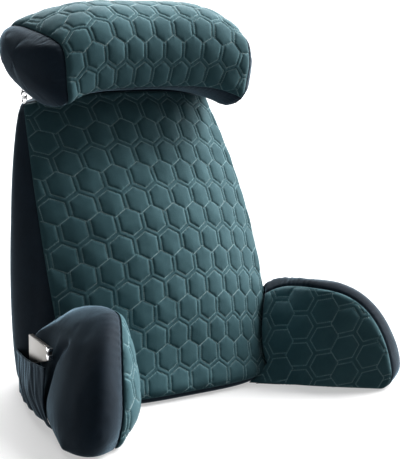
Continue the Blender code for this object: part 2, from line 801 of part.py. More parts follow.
def plate(mat):
    """Flat case standing in the pocket's mouth, its top edge sloping."""
    rear, front = (np.array((*p, 0.0)) for p in (PLATE_REAR, PLATE_FRONT))
    chord = front - rear
    inward = np.array((-chord[1], chord[0], 0.0))
    inward *= PLATE_THICK / np.linalg.norm(inward)
    points = []
    for spot, level in zip((rear, front, front, rear), PLATE_LEVELS):
        points += [spot + (0, 0, level), spot + inward + (0, 0, level)]
    faces = [(0, 2, 4, 6), (1, 7, 5, 3), (0, 1, 3, 2), (2, 3, 5, 4), (4, 5, 7, 6), (6, 7, 1, 0)]
    body = solid("plate_left", points, faces, mat)
    body.data.shade_flat()
    edge = body.modifiers.new("edges", "BEVEL")
    edge.width = 0.0015
    edge.segments = 2


# --------------------------------------------------------------------- build
def build():
    clear_scene()
    velvet = material("velvet", (0.030, 0.075, 0.095), 0.85)
    quilting = material("quilted_velvet", (0.040, 0.125, 0.145), 0.8)
    steel = material("steel", (0.75, 0.76, 0.78), 0.25, 1.0)

    points, faces, around = back_mesh()
    normals = vertex_normals(points, faces)
    solid("back_cushion", points, faces, velvet)
    patch = front_patch(points, normals, around)
    quilted_panel("back_quilt", patch, front_surface, front_lay, quilting)

    cutter = solid("back_envelope", quilt_envelope(points, normals, around), faces, velvet)
    cutter.hide_render = True
    cutter.display_type = "WIRE"
    for name, arm in ARMS.items():
        body = solid(f"arm_{name}", *arm_mesh(arm), velvet)
        cut = body.modifiers.new("root", "BOOLEAN")
        cut.operation = "DIFFERENCE"
        cut.object = cutter
        quilted_arm(name, arm, quilting)

    points, faces, first = head_mesh()
    solid("headrest", points, faces, velvet)
    normals = vertex_normals(points, faces)
    patch = head_patch(points, normals, first)
    quilted_panel("headrest_quilt", patch, head_surface, head_lay, quilting)
    for side in (-1, 1):
        chain(side, steel)
    pocket(velvet)
    plate(material("brushed_steel", (0.55, 0.55, 0.56), 0.35, 1.0))


def quilted_arm(name, arm, mat):
    lay = straight_lay(ARM_PHASE[name], arm["side"] > 0, ARM_TILT if arm["side"] > 0 else 0)
    panel = quilted_panel(f"arm_quilt_{name}", arm_patch(arm),
                          lambda spot: arm_surface(arm, spot), lay, mat)
    if arm["side"] < 0:
        panel.data.flip_normals()


build()
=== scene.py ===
import math

import bpy
import numpy as np
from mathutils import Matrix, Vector
from mathutils.kdtree import KDTree
from mathutils.geometry import delaunay_2d_cdt


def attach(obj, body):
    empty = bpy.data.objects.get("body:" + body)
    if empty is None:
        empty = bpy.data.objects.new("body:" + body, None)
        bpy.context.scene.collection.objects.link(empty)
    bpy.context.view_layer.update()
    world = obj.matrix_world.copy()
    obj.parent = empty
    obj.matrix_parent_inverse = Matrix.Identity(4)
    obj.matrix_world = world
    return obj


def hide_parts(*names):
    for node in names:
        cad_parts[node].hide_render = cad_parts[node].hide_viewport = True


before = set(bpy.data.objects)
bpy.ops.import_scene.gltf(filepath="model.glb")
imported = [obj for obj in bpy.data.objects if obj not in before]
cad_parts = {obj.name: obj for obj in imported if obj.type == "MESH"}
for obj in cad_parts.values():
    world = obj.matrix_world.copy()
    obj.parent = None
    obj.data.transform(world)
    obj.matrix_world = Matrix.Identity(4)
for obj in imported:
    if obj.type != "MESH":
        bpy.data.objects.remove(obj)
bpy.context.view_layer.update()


# ---------------------------------------------------------------- back cushion
# A wedge of plain velvet filled with fibre: it stands on a rounded foot, its
# front leans back and its side gussets swell towards the floor.  The quilted
# front panel is sewn to it all round.
SHIFT = np.array((-0.0215, 0.1940, 0.0))    # from the corner seams to the origin
GAP = 0.0003              # air between two pieces that touch
BACK_HEIGHT = 0.495       # top seam of the front
BACK_WIDEST = 0.2203      # half width between the front seams, at its widest
WIDEST_AT = 0.215         # height of that place
TAPER = 0.33              # how fast the front narrows away from there
LEAN_FOOT = 0.185         # how far the front seams stand out at the floor
LEAN_BEND = 0.106         # part of that lean that curves the seam
CROWN = 0.054             # bulge of the front between its seams
CROWN_POWER = (2.2, 2.0)  # how flat its middle is, and how much flatter at the
FLAT_FOOT = 0.16          # floor than from this height up
CROWN_FADE = 0.3          # share of it that is gone at the top seam
FADE_FROM = 0.6           # share of the height where it starts to go
REAR = 0.045              # plane of the rear, behind the top seams
REAR_SAG = 0.032          # its lower part sags back by this much,
SAG_TOP = 0.300           # from this height down
FOOT_BULGE = 0.024        # and the front's lowest part forward by this much,
BULGE_TOP = 0.100         # from this height down
SIDE_BULGE = 0.038        # swelling of the side gussets near the floor
SIDE_EASE = 0.6           # how fast that swelling comes in from the top
FOOT_ROUND = 0.030        # rolled lower edge
TOP_ROUND = 0.014         # rolled upper edge
BACK_TOP = 0.508          # top of the filling between the rolled edges
BOXY = 4                  # power of the boxy outline of the sides and rear
TOP_DOME = 0.020          # rise of the top between its corners,
DOME_FROM = 0.360         # from this height up


def rolled(deep, radius):
    """How far a rolled edge has drawn in, by the depth past its start."""
    return radius - np.sqrt(radius**2 - deep**2)


def foot_inset(z):
    return rolled(np.clip(FOOT_ROUND - z, 0, FOOT_ROUND), FOOT_ROUND)


def top_inset(z):
    return rolled(np.clip(z - BACK_HEIGHT, 0, TOP_ROUND), TOP_ROUND)


def half_width(z):
    return BACK_WIDEST - TAPER * (z - WIDEST_AT)**2 - foot_inset(z) - top_inset(z)


def seam_depth(z):
    down = np.maximum(1 - z / BACK_HEIGHT, 0)
    lean = (LEAN_FOOT + LEAN_BEND) * down - LEAN_BEND * down**2
    bulge = FOOT_BULGE * np.maximum(1 - z / BULGE_TOP, 0)**2
    return -lean - bulge + foot_inset(z) + top_inset(z)


def crown(z):
    over = np.maximum(z / BACK_HEIGHT - FADE_FROM, 0) / (1 - FADE_FROM)
    return CROWN * (1 - CROWN_FADE * over)


def rear_depth(z):
    low = np.maximum(1 - z / SAG_TOP, 0)
    return REAR + REAR_SAG * low - foot_inset(z) - top_inset(z)


def domed(s, z):
    """Height of a point at a share of the half width."""
    high = np.clip((z - DOME_FROM) / (BACK_TOP - DOME_FROM), 0, 1)
    return z + TOP_DOME * high**2 * (1 - np.minimum(np.abs(s), 1)**2.5)


def crown_power(z):
    return CROWN_POWER[0] + CROWN_POWER[1] * np.maximum(1 - z / FLAT_FOOT, 0)**2


def bulge(s, z):
    """How far the front bulges at a share of the half width."""
    return crown(z) * (1 - np.abs(s)**crown_power(z))


def front_point(s, z):
    """Front of the cushion, s from -1 at the left seam to 1 at the right one."""
    s, z = np.broadcast_arrays(np.asarray(s, float), np.asarray(z, float))
    y = seam_depth(z) - bulge(s, z)
    return np.stack([s * half_width(z), y, domed(s, z)], axis=-1)


def side_swell(back, z):
    """Swelling of the side gussets at a share of the depth."""
    high = np.maximum(1 - z / BACK_HEIGHT, 0)**SIDE_EASE
    return SIDE_BULGE * high * np.sin(np.pi * back)


def side_point(across, back, z):
    """Sides and rear, by shares of the half width and of the depth."""
    depth = rear_depth(z) - seam_depth(z)
    x = across * (half_width(z) + side_swell(back, z))
    y = seam_depth(z) + depth * back
    return np.stack(np.broadcast_arrays(x, y, domed(across, z)), axis=-1)


def even_steps(points, count):
    """Shares of a line of points at even lengths along it."""
    run = np.linalg.norm(np.diff(points, axis=0), axis=1)
    run = np.concatenate([[0], np.cumsum(run)])
    return np.interp(np.linspace(0, run[-1], count), run, np.linspace(0, 1, len(run)))


def piece(name, points, faces, *finishes):
    """A mesh of points in the pillow's own coordinates, placed on the frame."""
    mesh = bpy.data.meshes.new(name)
    mesh.from_pydata((np.asarray(points) + SHIFT).tolist(), [], faces)
    mesh.validate()
    mesh.update()
    mesh.shade_smooth()
    made = bpy.data.objects.new(name, mesh)
    bpy.context.scene.collection.objects.link(made)
    for finish in finishes:
        mesh.materials.append(finish)
    return made


def only(made):
    """Selects one piece alone, as the next operator's subject."""
    bpy.ops.object.select_all(action="DESELECT")
    made.select_set(True)
    bpy.context.view_layer.objects.active = made


def band_faces(rows, columns, closed):
    """Four-cornered faces between rows of points, round and round if closed."""
    faces = []
    for r in range(rows - 1):
        for k in range(columns if closed else columns - 1):
            n = (k + 1) % columns
            low, high = r * columns, (r + 1) * columns
            faces.append((low + k, low + n, high + n, high + k))
    return faces


def closed_rings(rings):
    """Points and faces of a form closed at its first and last ring."""
    columns = len(rings[0])
    points = np.concatenate([*rings, [rings[0].mean(0), rings[-1].mean(0)]])
    faces = band_faces(len(rings), columns, True)
    last = (len(rings) - 1) * columns
    foot, top = len(points) - 2, len(points) - 1
    for k in range(columns):
        n = (k + 1) % columns
        faces.append((n, k, foot))
        faces.append((last + k, last + n, top))
    return points, faces


def vectors(rows, key):
    found = np.zeros(len(rows) * 3, np.float32)
    rows.foreach_get(key, found)
    return found.reshape(-1, 3).astype(float)


def coordinates(made):
    return vectors(made.data.vertices, "co")


def directions(made):
    return vectors(made.data.vertex_normals, "vector")


def reshape(made, points):
    made.data.vertices.foreach_set("co", np.asarray(points, np.float32).ravel())
    made.data.update()


def weighted(made, name, weights):
    group = made.vertex_groups.new(name=name)
    for i, weight in enumerate(weights):
        group.add([i], float(weight), "REPLACE")


def worked(made, kind, **settings):
    """Gives a piece one modifier and applies it."""
    only(made)
    step = made.modifiers.new(kind.lower(), kind)
    for key, value in settings.items():
        setattr(step, key, value)
    bpy.ops.object.modifier_apply(modifier=step.name)


def filled(made, held, most, pressure=4.0, slack=0.0, frames=20):
    """The filling swells a piece: cloth under pressure, with its held points
    still, no point moved further than most and none drawn in."""
    weighted(made, "held", held)
    cloth = made.modifiers.new("filling", "CLOTH")
    cloth.settings.use_pressure = True
    cloth.settings.uniform_pressure_force = pressure
    cloth.settings.shrink_min = -slack
    cloth.settings.vertex_group_mass = "held"
    cloth.settings.effector_weights.gravity = 0
    cloth.settings.bending_stiffness = 0.8
    cloth.collision_settings.use_collision = False
    cloth.point_cache.frame_end = frames
    before, out = coordinates(made), directions(made)
    for number in range(1, frames + 1):
        bpy.context.scene.frame_set(number)
    swollen = made.evaluated_get(bpy.context.evaluated_depsgraph_get())
    moved = coordinates(swollen) - before
    along = (moved * out).sum(axis=1)[:, None]
    moved += out * (np.maximum(along, 0) - along)
    length = np.linalg.norm(moved, axis=1)[:, None]
    made.modifiers.remove(cloth)
    made.vertex_groups.clear()
    reshape(made, before + moved * np.minimum(1, most * np.tanh(length / most)
                                              / np.maximum(length, 1e-9)))
    bpy.context.scene.frame_set(1)


def subdivided(made):
    worked(made, "SUBSURF", levels=1, render_levels=1)


def smoothed(made, held, times):
    """Rounds a piece off between its held points."""
    weighted(made, "free", 1 - held)
    worked(made, "SMOOTH", factor=0.5, iterations=times, vertex_group="free")
    made.vertex_groups.clear()


SEAM_WIDE = 0.0028        # width of the groove that a seam draws
FOLD_PITCH = (0.008, 0.017)         # gathers are this far apart


def sewn(made, seams, groove=0.0018, gathers=0.0009, reach=0.012, seed=1,
         held=None):
    """Draws a piece in along its seams, with small gathers running from them."""
    tree = KDTree(sum(len(seam) for seam in seams))
    along, number, run = [], 0, 0.0
    for seam in seams:
        steps = np.linalg.norm(np.diff(seam, axis=0, prepend=seam[:1]), axis=1)
        for spot, length in zip(seam, steps):
            run += length
            along.append(run)
            tree.insert(spot + SHIFT, number)
            number += 1
    tree.balance()
    points = coordinates(made)
    near = [tree.find(point) for point in points]
    far = np.array([found[2] for found in near])
    place = np.array([along[found[1]] for found in near])
    random = np.random.default_rng(seed)
    folds = np.zeros(len(points))
    for _ in range(7):
        pitch = random.uniform(*FOLD_PITCH)
        slow = place * random.uniform(20, 60)
        strong = 0.5 + 0.5 * np.sin(slow + random.uniform(0, 6))
        folds += strong * np.sin(place / pitch * 2 * np.pi + random.uniform(0, 6))
    folds *= gathers / math.sqrt(7)
    move = folds * np.exp(-far / reach) * (1 - np.exp(-far / 0.002))
    move -= groove * np.exp(-(far / SEAM_WIDE)**2)
    if held is not None:
        move *= 1 - held(points - SHIFT)
    reshape(made, points + move[:, None] * directions(made))


def node_maker(mat):
    mat.use_nodes = True
    tree = mat.node_tree
    shader = tree.nodes["Principled BSDF"]

    def add(kind, **values):
        node = tree.nodes.new(kind)
        for key, value in values.items():
            if key in node.inputs:
                node.inputs[key].default_value = value
            else:
                setattr(node, key, value)
        return node

    return tree, shader, add


PATCHES, PILE, NAP = 26.0, 260.0, 900.0     # patches of laid pile, tufts and hairs
PILE_SHARE = 0.35         # how much the tufts add to the patches
LAID_FROM = 0.17          # taken off that sum before it is shaded


def velvet(name, dark, light, sheen, tint, line=None):
    """Short-piled velvet: the pile lies in patches, with a fine nap; along a stitched line
    its colour is lightened, a painted highlight for the light the pile catches there."""
    mat = bpy.data.materials.new(name)
    tree, shader, add = node_maker(mat)
    link = tree.links.new
    place = add("ShaderNodeTexCoord")
    patches = add("ShaderNodeTexNoise", Scale=PATCHES, Detail=4.0, Roughness=0.6)
    nap = add("ShaderNodeTexNoise", Scale=NAP, Detail=2.0, Roughness=0.7)
    pile = add("ShaderNodeTexNoise", Scale=PILE, Detail=3.0, Roughness=0.65)
    ramp = add("ShaderNodeValToRGB")
    ramp.color_ramp.elements[0].position = 0.30
    ramp.color_ramp.elements[0].color = (*dark, 1)
    ramp.color_ramp.elements[1].position = 0.72
    ramp.color_ramp.elements[1].color = (*light, 1)
    blend = add("ShaderNodeMath", operation="ADD")
    half = add("ShaderNodeMath", operation="MULTIPLY")
    half.inputs[1].default_value = PILE_SHARE
    bump = add("ShaderNodeBump", Strength=0.35, Distance=0.0006)
    for texture in (patches, nap, pile):
        link(place.outputs["Object"], texture.inputs["Vector"])
    link(pile.outputs["Fac"], half.inputs[0])
    link(patches.outputs["Fac"], blend.inputs[0])
    link(half.outputs[0], blend.inputs[1])
    shift = add("ShaderNodeMath", operation="SUBTRACT")
    shift.inputs[1].default_value = LAID_FROM
    link(blend.outputs[0], shift.inputs[0])
    link(shift.outputs[0], ramp.inputs["Fac"])
    colour = ramp.outputs["Color"]
    # Painted highlight: near a stitch line the base colour is mixed towards a paler teal,
    # for the light caught there.
    if line:
        highlight_attribute = add("ShaderNodeAttribute", attribute_name="stitch_highlight")
        highlighted = add("ShaderNodeMix", data_type="RGBA")
        highlighted.inputs["B"].default_value = (*line, 1)
        link(highlight_attribute.outputs["Fac"], highlighted.inputs["Factor"])
        link(colour, highlighted.inputs["A"])
        colour = highlighted.outputs["Result"]
    link(colour, shader.inputs["Base Color"])
    link(nap.outputs["Fac"], bump.inputs["Height"])
    link(bump.outputs["Normal"], shader.inputs["Normal"])
    shader.inputs["Roughness"].default_value = 0.82
    shader.inputs["Specular IOR Level"].default_value = 0.18
    shader.inputs["Sheen Weight"].default_value = sheen
    shader.inputs["Sheen Roughness"].default_value = 0.30
    shader.inputs["Sheen Tint"].default_value = (*tint, 1)
    return mat


plain_velvet = velvet("dark_velvet", (0.004, 0.010, 0.018), (0.008, 0.018, 0.030),
                      0.72, (0.46, 0.70, 0.88))

levels = np.concatenate([FOOT_ROUND * (1 - np.cos(np.linspace(0, np.pi / 2, 9))),
                         np.linspace(FOOT_ROUND, BACK_HEIGHT, 82)[1:],
                         [0.499, 0.503, 0.506, BACK_TOP]])
front_steps = np.linspace(-1, 1, 73)
corner = np.linspace(0, np.pi, 400)
track = np.stack([np.sign(np.cos(corner)) * np.abs(np.cos(corner))**(2 / BOXY),
                  np.abs(np.sin(corner))**(2 / BOXY)], axis=1)
places = even_steps(track * (0.22, 0.20), 118)[1:-1] * (len(track) - 1)
track = np.stack([np.interp(places, range(len(track)), track[:, i]) for i in (0, 1)],
                 axis=1)


def back_ring(z):
    return np.concatenate([front_point(front_steps, z),
                           side_point(track[:, 0], track[:, 1], z)])


def shrunk(ring, shares, lift=0.0):
    middle = ring.mean(0)
    return [middle + (ring - middle) * share + (0, 0, lift * (1 - share))
            for share in shares]


rings = shrunk(back_ring(0.0), (0.15, 0.35, 0.55, 0.75, 0.9))
rings += [back_ring(z) for z in levels]
rings += shrunk(back_ring(BACK_TOP), (0.93, 0.8, 0.6, 0.4, 0.2), 0.002)
back_points, back_faces = closed_rings(rings)
back_cushion = piece("back_cushion_velvet", back_points, back_faces, plain_velvet)
is_front = np.zeros(len(back_points), bool)
columns = len(front_steps) + len(track)
is_front[:-2] = (np.arange(len(back_points) - 2) % columns) < len(front_steps)
filled(back_cushion, is_front | (back_points[:, 2] < 0.006), 0.009, pressure=9.0)
subdivided(back_cushion)
side_heights = np.linspace(0.006, BACK_TOP, 240)
front_seams = [front_point(side, side_heights) for side in (-1, 1)]
top_seam = front_point(np.linspace(-1, 1, 220), BACK_TOP)


def behind_panel(points):
    """One where the quilted front covers the cushion, nothing elsewhere."""
    x, y, z = points.T
    share = np.clip(np.abs(x) / half_width(z), 0, 1)
    front = seam_depth(z) - bulge(share, z)
    return (y < front + 0.004).astype(float)


sewn(back_cushion, [*front_seams, top_seam], groove=0.0012, held=behind_panel)
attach(back_cushion, "root")
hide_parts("back_cushion")


# --------------------------------------------------------------- quilted front
# The front is a velvet panel stitched over wadding in hexagons, in pairs of
# rows: the two rows of a pair share a stitch line, and a narrow channel parts
# all other hexagons.  It is sewn into the cushion's front seams.
PITCH = 0.0465            # hexagon to hexagon along a row
ROW_IN_PAIR = 0.770       # rows of a pair, and pair to pair, in pitches
PAIR_STEP = 1.7325
FLAT = 5 / 12             # from a hexagon's middle to its upright sides
SLANT = 11 / 24           # and to its slanting ones
STITCHED = 0.0024         # height of the cloth under a stitch line
PAD = 0.0040              # and on a hexagon's shoulder,
PAD_DOME = 0.0015         # which rises by this much to its middle
SHOULDER_RUN = 0.0040     # from the stitch line up to the shoulder
HALF_CHANNEL = 0.00385    # from a stitch line to the middle of a channel
ROLL = 0.0014             # rise of the cloth between the lines of a channel
RIM_RUN = 0.009           # the pads come down over this length to a seam
RIM_HEIGHT = 0.0010
RIM_ROWS = (0.0007, 0.0022, 0.0045)         # rows of points along the seam
PUCKER = 0.00035          # small creases that the stitches pull in
UNEVEN = 0.0004           # slow waves of the wadding
THINNEST = 0.0006
HIGHLIGHT_WIDE = 0.0010        # width of the painted highlight along a stitch line
RINGS = (0.0, 0.0006, 0.0013, 0.0022, 0.0033, 0.0055, 0.0085, 0.0125, 0.0170)
CHANNEL_RINGS = (-0.0007, -0.0016, -0.0027, -HALF_CHANNEL)
SPACING = 0.0023          # of points along a stitch line
PANEL_FOOT, PANEL_TOP = 0.012, 0.503


def hexagon(inset):
    """Corners of a hexagon drawn in by a length, in pitches, point up."""
    d = inset / PITCH
    flat, slant = FLAT - d, SLANT - d
    wall = (slant - flat / 2) / math.sqrt(0.75)
    tip = slant / math.sqrt(0.75)
    return np.array([(flat, wall), (0, tip), (-flat, wall), (-flat, -wall), (0, -tip),
                     (flat, -wall)])


def outline_points(inset, spacing):
    """Points along a hexagon's outline, about a spacing apart."""
    corners = hexagon(inset)
    found = []
    for start, end in zip(corners, np.roll(corners, -1, axis=0)):
        steps = max(1, round(np.linalg.norm(end - start) * PITCH / spacing))
        found += [start + (end - start) * i / steps for i in range(steps)]
    return np.array(found)


def hexagon_centres(lay, low, high):
    cells = []
    for pair in range(-9, 10):
        for row in (0, 1):
            for column in range(-9, 10):
                cell = np.array((column + row / 2, pair * PAIR_STEP - row * ROW_IN_PAIR))
                spot = lay(cell[None])[0]
                if np.all(spot > low - PITCH) and np.all(spot < high + PITCH):
                    cells.append(cell)
    return np.array(cells)


def stitch_distance(cells, spots):
    """How far inside the nearest hexagon's stitch line, in metres."""
    best = np.full(len(spots), -1.0)
    for cell in cells:
        x, y = np.abs(spots - cell).T
        inside = np.minimum(FLAT - x, SLANT - (x / 2 + y * math.sqrt(0.75)))
        best = np.maximum(best, inside)
    return best * PITCH


def unlay(lay, flat):
    """From flat places back to pitches, by Newton's method."""
    spots = flat / PITCH
    small = 1e-4
    for _ in range(8):
        here = lay(spots)
        du = (lay(spots + (small, 0)) - here) / small
        dv = (lay(spots + (0, small)) - here) / small
        miss = flat - here
        det = du[:, 0] * dv[:, 1] - du[:, 1] * dv[:, 0]
        step = np.stack([(miss[:, 0] * dv[:, 1] - miss[:, 1] * dv[:, 0]) / det,
                         (miss[:, 1] * du[:, 0] - miss[:, 0] * du[:, 1]) / det], axis=1)
        spots = spots + step
    return spots


def rim_distance(points, loop):
    """Distance of flat points to a closed outline, and whether each is inside."""
    far = np.full(len(points), 9.0)
    inside = np.zeros(len(points), bool)
    x, y = points.T
    for a, b in zip(loop, np.roll(loop, -1, axis=0)):
        t = np.clip(((points - a) @ (b - a)) / ((b - a) @ (b - a)), 0, 1)
        far = np.minimum(far, np.linalg.norm(a + t[:, None] * (b - a) - points, axis=1))
        if a[1] != b[1]:
            cross = (a[1] > y) != (b[1] > y)
            inside ^= cross & (x < a[0] + (y - a[1]) / (b[1] - a[1]) * (b[0] - a[0]))
    return far, inside


def pad_height(deep, rim):
    """Height of the quilted cloth, by its distances to stitch line and seam."""
    up = np.clip(deep / SHOULDER_RUN, 0, 1)
    dome = np.clip(deep / (FLAT * PITCH), 0, 1)
    pad = STITCHED + (PAD - STITCHED) * (1 - (1 - up)**1.8)
    pad = pad + PAD_DOME * dome * (2 - dome)
    over = np.clip(-deep / HALF_CHANNEL, 0, 1.25)
    channel = STITCHED + ROLL * (1 - (1 - over)**2)
    height = np.where(deep > 0, pad, channel)
    near = np.clip(rim / RIM_RUN, 0, 1)
    return RIM_HEIGHT + (height - RIM_HEIGHT) * (1 - (1 - near)**2.2)


def waves(points, scale, seed):
    """Smooth unevenness from -1 to 1, the same each time."""
    random = np.random.default_rng(seed)
    total = np.zeros(len(points))
    for _ in range(14):
        ahead = random.normal(size=points.shape[1])
        ahead *= random.uniform(0.6, 1.4) / np.linalg.norm(ahead) * 2 * np.pi / scale
        total += np.sin(points @ ahead + random.uniform(0, 2 * np.pi))
    return total / math.sqrt(14)


def quilted_panel(loop, lay, surface, seed, flip=False):
    """Points and faces of a closed quilted sheet on a surface, its hexagons' middles, and
    the painted highlight at each point, strongest on a stitch line."""
    cells = hexagon_centres(lay, loop.min(0), loop.max(0))
    found = []
    for inset in (*RINGS, *CHANNEL_RINGS):
        line = outline_points(inset, SPACING * (1 + 60 * max(inset, 0)))
        spots = (cells[:, None] + line).reshape(-1, 2)
        deep = stitch_distance(cells, spots)
        found.append(spots[np.abs(deep - inset) < 2e-5])
    found.append(cells)
    flat = lay(np.concatenate(found))
    _, first = np.unique(np.round(flat / 0.0005), axis=0, return_index=True)
    flat = flat[np.sort(first)]
    rim, inside = rim_distance(flat, loop)
    flat = flat[inside & (rim > 0.0012)]
    count = len(loop)
    ahead = np.roll(loop, -1, axis=0) - np.roll(loop, 1, axis=0)
    inward = np.stack([-ahead[:, 1], ahead[:, 0]], axis=1)
    inward /= np.linalg.norm(inward, axis=1)[:, None]
    rows = [loop + inward * run for run in RIM_ROWS]
    rows = np.concatenate(rows)
    rim, inside = rim_distance(rows, loop)
    flat = np.concatenate([loop, flat, rows[inside & (rim > 0.0006)]])
    ring = [(i, (i + 1) % count) for i in range(count)]
    _, _, tris, origin, _, _ = delaunay_2d_cdt(flat.tolist(), ring, [], 1, 1e-7)
    index = [old[0] for old in origin]
    tris = np.array([[index[i] for i in tri] for tri in tris])
    a, b, c = (flat[tris[:, i]] for i in (0, 1, 2))
    ab, ac = b - a, c - a
    turn = ab[:, 0] * ac[:, 1] - ab[:, 1] * ac[:, 0]
    tris[turn < 0] = tris[turn < 0][:, ::-1]
    place, normal = surface(flat)
    deep = stitch_distance(cells, unlay(lay, flat))
    rim = rim_distance(flat, loop)[0]
    rim[:count] = 0
    height = pad_height(deep, rim)
    near = np.exp(-np.abs(deep) / 0.0035) + 0.6 * np.exp(-rim / 0.006)
    height += (PUCKER * near * waves(flat, 0.007, seed)
               + UNEVEN * waves(flat, 0.05, seed + 1))
    height[:count] = RIM_HEIGHT
    height = np.maximum(height, THINNEST)
    top = place + (GAP + height[:, None]) * normal
    under = place + GAP * normal
    sheet = tris[:, ::-1] + len(flat)
    points = np.concatenate([top, under])
    faces = tris.tolist() + sheet.tolist()
    for i, j in ring:
        faces.append((j, i, len(flat) + i, len(flat) + j))
    if flip:
        faces = [tuple(reversed(face)) for face in faces]
    # Painted highlight: strongest on each stitch line, fading towards the seam.
    highlights = 0.8 * np.exp(-(deep / HIGHLIGHT_WIDE)**2) * np.clip(rim / 0.003, 0, 1)
    return points, faces, cells, np.concatenate([highlights, np.zeros(len(flat))])


def quilt(name, points, faces, highlights):
    """The quilted panel itself, with the painted highlight along its stitch lines marked
    for the velvet.
    """
    made = piece(name, points, faces, quilted_velvet)
    highlight_attribute = made.data.attributes.new("stitch_highlight", "FLOAT", "POINT")
    highlight_attribute.data.foreach_set("value", highlights.astype(np.float32))
    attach(made, "root")
    return made


STITCH = 0.0032           # one stitch and the gap after it
THREAD = 0.00055          # half the thread's thickness
BITE = 0.12               # share of a stitch at each end that is under the cloth


def stitches(cells, loop, lay, surface):
    """Points and faces of the thread's stitches round the hexagons."""
    line = outline_points(0.0, STITCH)
    ahead = np.roll(line, -1, axis=0)
    starts = (cells[:, None] + line + BITE * (ahead - line)).reshape(-1, 2)
    ends = (cells[:, None] + line + (1 - BITE) * (ahead - line)).reshape(-1, 2)
    middle = lay((starts + ends) / 2)
    _, first = np.unique(np.round(middle / (STITCH / 2)), axis=0, return_index=True)
    rim, inside = rim_distance(middle, loop)
    kept = np.zeros(len(middle), bool)
    kept[first] = True
    kept &= inside & (rim > 0.003)
    height = GAP + pad_height(np.zeros(kept.sum()), rim[kept])
    _, up = surface(middle[kept])
    start, end = (surface(lay(spots[kept]))[0] + height[:, None] * up
                  for spots in (starts, ends))
    across = np.cross(up, end - start)
    across *= THREAD / np.linalg.norm(across, axis=1)[:, None]
    up = up * THREAD
    rows = [start]
    for share in (0.22, 0.78):
        spot = start + (end - start) * share + 0.9 * up
        rows += [spot - across, spot - up, spot + across, spot + up]
    rows.append(end)
    points = np.stack(rows, axis=1)
    one = [(0, 2, 1), (0, 3, 2), (0, 4, 3), (0, 1, 4), (9, 5, 6), (9, 6, 7), (9, 7, 8),
           (9, 8, 5), (1, 2, 6, 5), (2, 3, 7, 6), (3, 4, 8, 7), (4, 1, 5, 8)]
    faces = [tuple(10 * i + k for k in face) for i in range(len(points)) for face in one]
    return points.reshape(-1, 3), faces


heights = np.linspace(PANEL_FOOT, PANEL_TOP, 240)
middle = front_point(0, heights)
lengths = np.linalg.norm(np.diff(middle, axis=0), axis=1)
lengths = np.concatenate([[0], np.cumsum(lengths)])


def across_length(s, z):
    steep = (crown_power(z) * crown(z) / half_width(z))**2
    power = 2 * crown_power(z) - 2
    return half_width(z) * s * (1 + steep * np.abs(s)**power / (2 * power + 2))


def surface_normal(across, up):
    normal = np.cross(across, up)
    return normal / np.linalg.norm(normal, axis=-1)[:, None]


def front_surface(flat):
    z = np.interp(flat[:, 1], lengths, heights)
    s = flat[:, 0] / half_width(z)
    for _ in range(5):
        s = s - (across_length(s, z) - flat[:, 0]) / half_width(z)
    small = 1e-4
    across = front_point(s + small, z) - front_point(s - small, z)
    up = front_point(s, z + small) - front_point(s, z - small)
    return front_point(s, z), surface_normal(across, up)


def front_lay(spots):
    """The stitching's place on the front, pulled out of square by the filling."""
    u, v = spots[:, 0] + 0.5, spots[:, 1] + 0.3025
    a = 0.0245 + 0.0447 * u - 0.0009 * u * u + 0.0026 * v + 0.0005 * u * v - 0.0008 * v * v
    b = 0.2489 + 0.0476 * v + 0.0002 * v * v - 0.0005 * u - 0.0009 * u * u
    return np.stack([a, b], axis=1)


def front_rim():
    """Outline of the front panel on the flat, counter-clockwise."""
    across, up = np.linspace(-1, 1, 110), np.linspace(PANEL_FOOT, PANEL_TOP, 130)
    foot = [(across_length(s, PANEL_FOOT), 0.0) for s in across]
    right = [(across_length(1.0, z), np.interp(z, heights, lengths)) for z in up[1:]]
    top = [(across_length(s, PANEL_TOP), lengths[-1]) for s in across[::-1][1:]]
    left = [(across_length(-1.0, z), np.interp(z, heights, lengths))
            for z in up[::-1][1:-1]]
    return np.array(foot + right + top + left)


# The paler colour given last is the painted highlight along the stitch lines.
quilted_velvet = velvet("teal_velvet", (0.037, 0.098, 0.116), (0.056, 0.132, 0.152),
                        0.40, (0.62, 0.84, 0.92), line=(0.16, 0.30, 0.33))
points, faces, front_cells, highlights = quilted_panel(front_rim(), front_lay,
                                                  front_surface, 3)
back_quilt = quilt("back_quilt_velvet", points, faces, highlights)
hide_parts("back_quilt")

thread = bpy.data.materials.new("stitching_thread")
tree, shader, add = node_maker(thread)
place = add("ShaderNodeTexCoord")
twist = add("ShaderNodeTexNoise", Scale=700.0)
shade = add("ShaderNodeValToRGB")
shade.color_ramp.elements[0].color = (0.22, 0.36, 0.38, 1)
shade.color_ramp.elements[1].color = (0.38, 0.54, 0.57, 1)
tree.links.new(place.outputs["Object"], twist.inputs["Vector"])
tree.links.new(twist.outputs["Fac"], shade.inputs["Fac"])
tree.links.new(shade.outputs["Color"], shader.inputs["Base Color"])
shader.inputs["Roughness"].default_value = 0.5
shader.inputs["Sheen Weight"].default_value = 0.3


def stitched(name, cells, loop, lay, surface):
    made = piece(name, *stitches(cells, loop, lay, surface), thread)
    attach(made, "root")


stitched("back_stitching", front_cells, front_rim(), front_lay, front_surface)


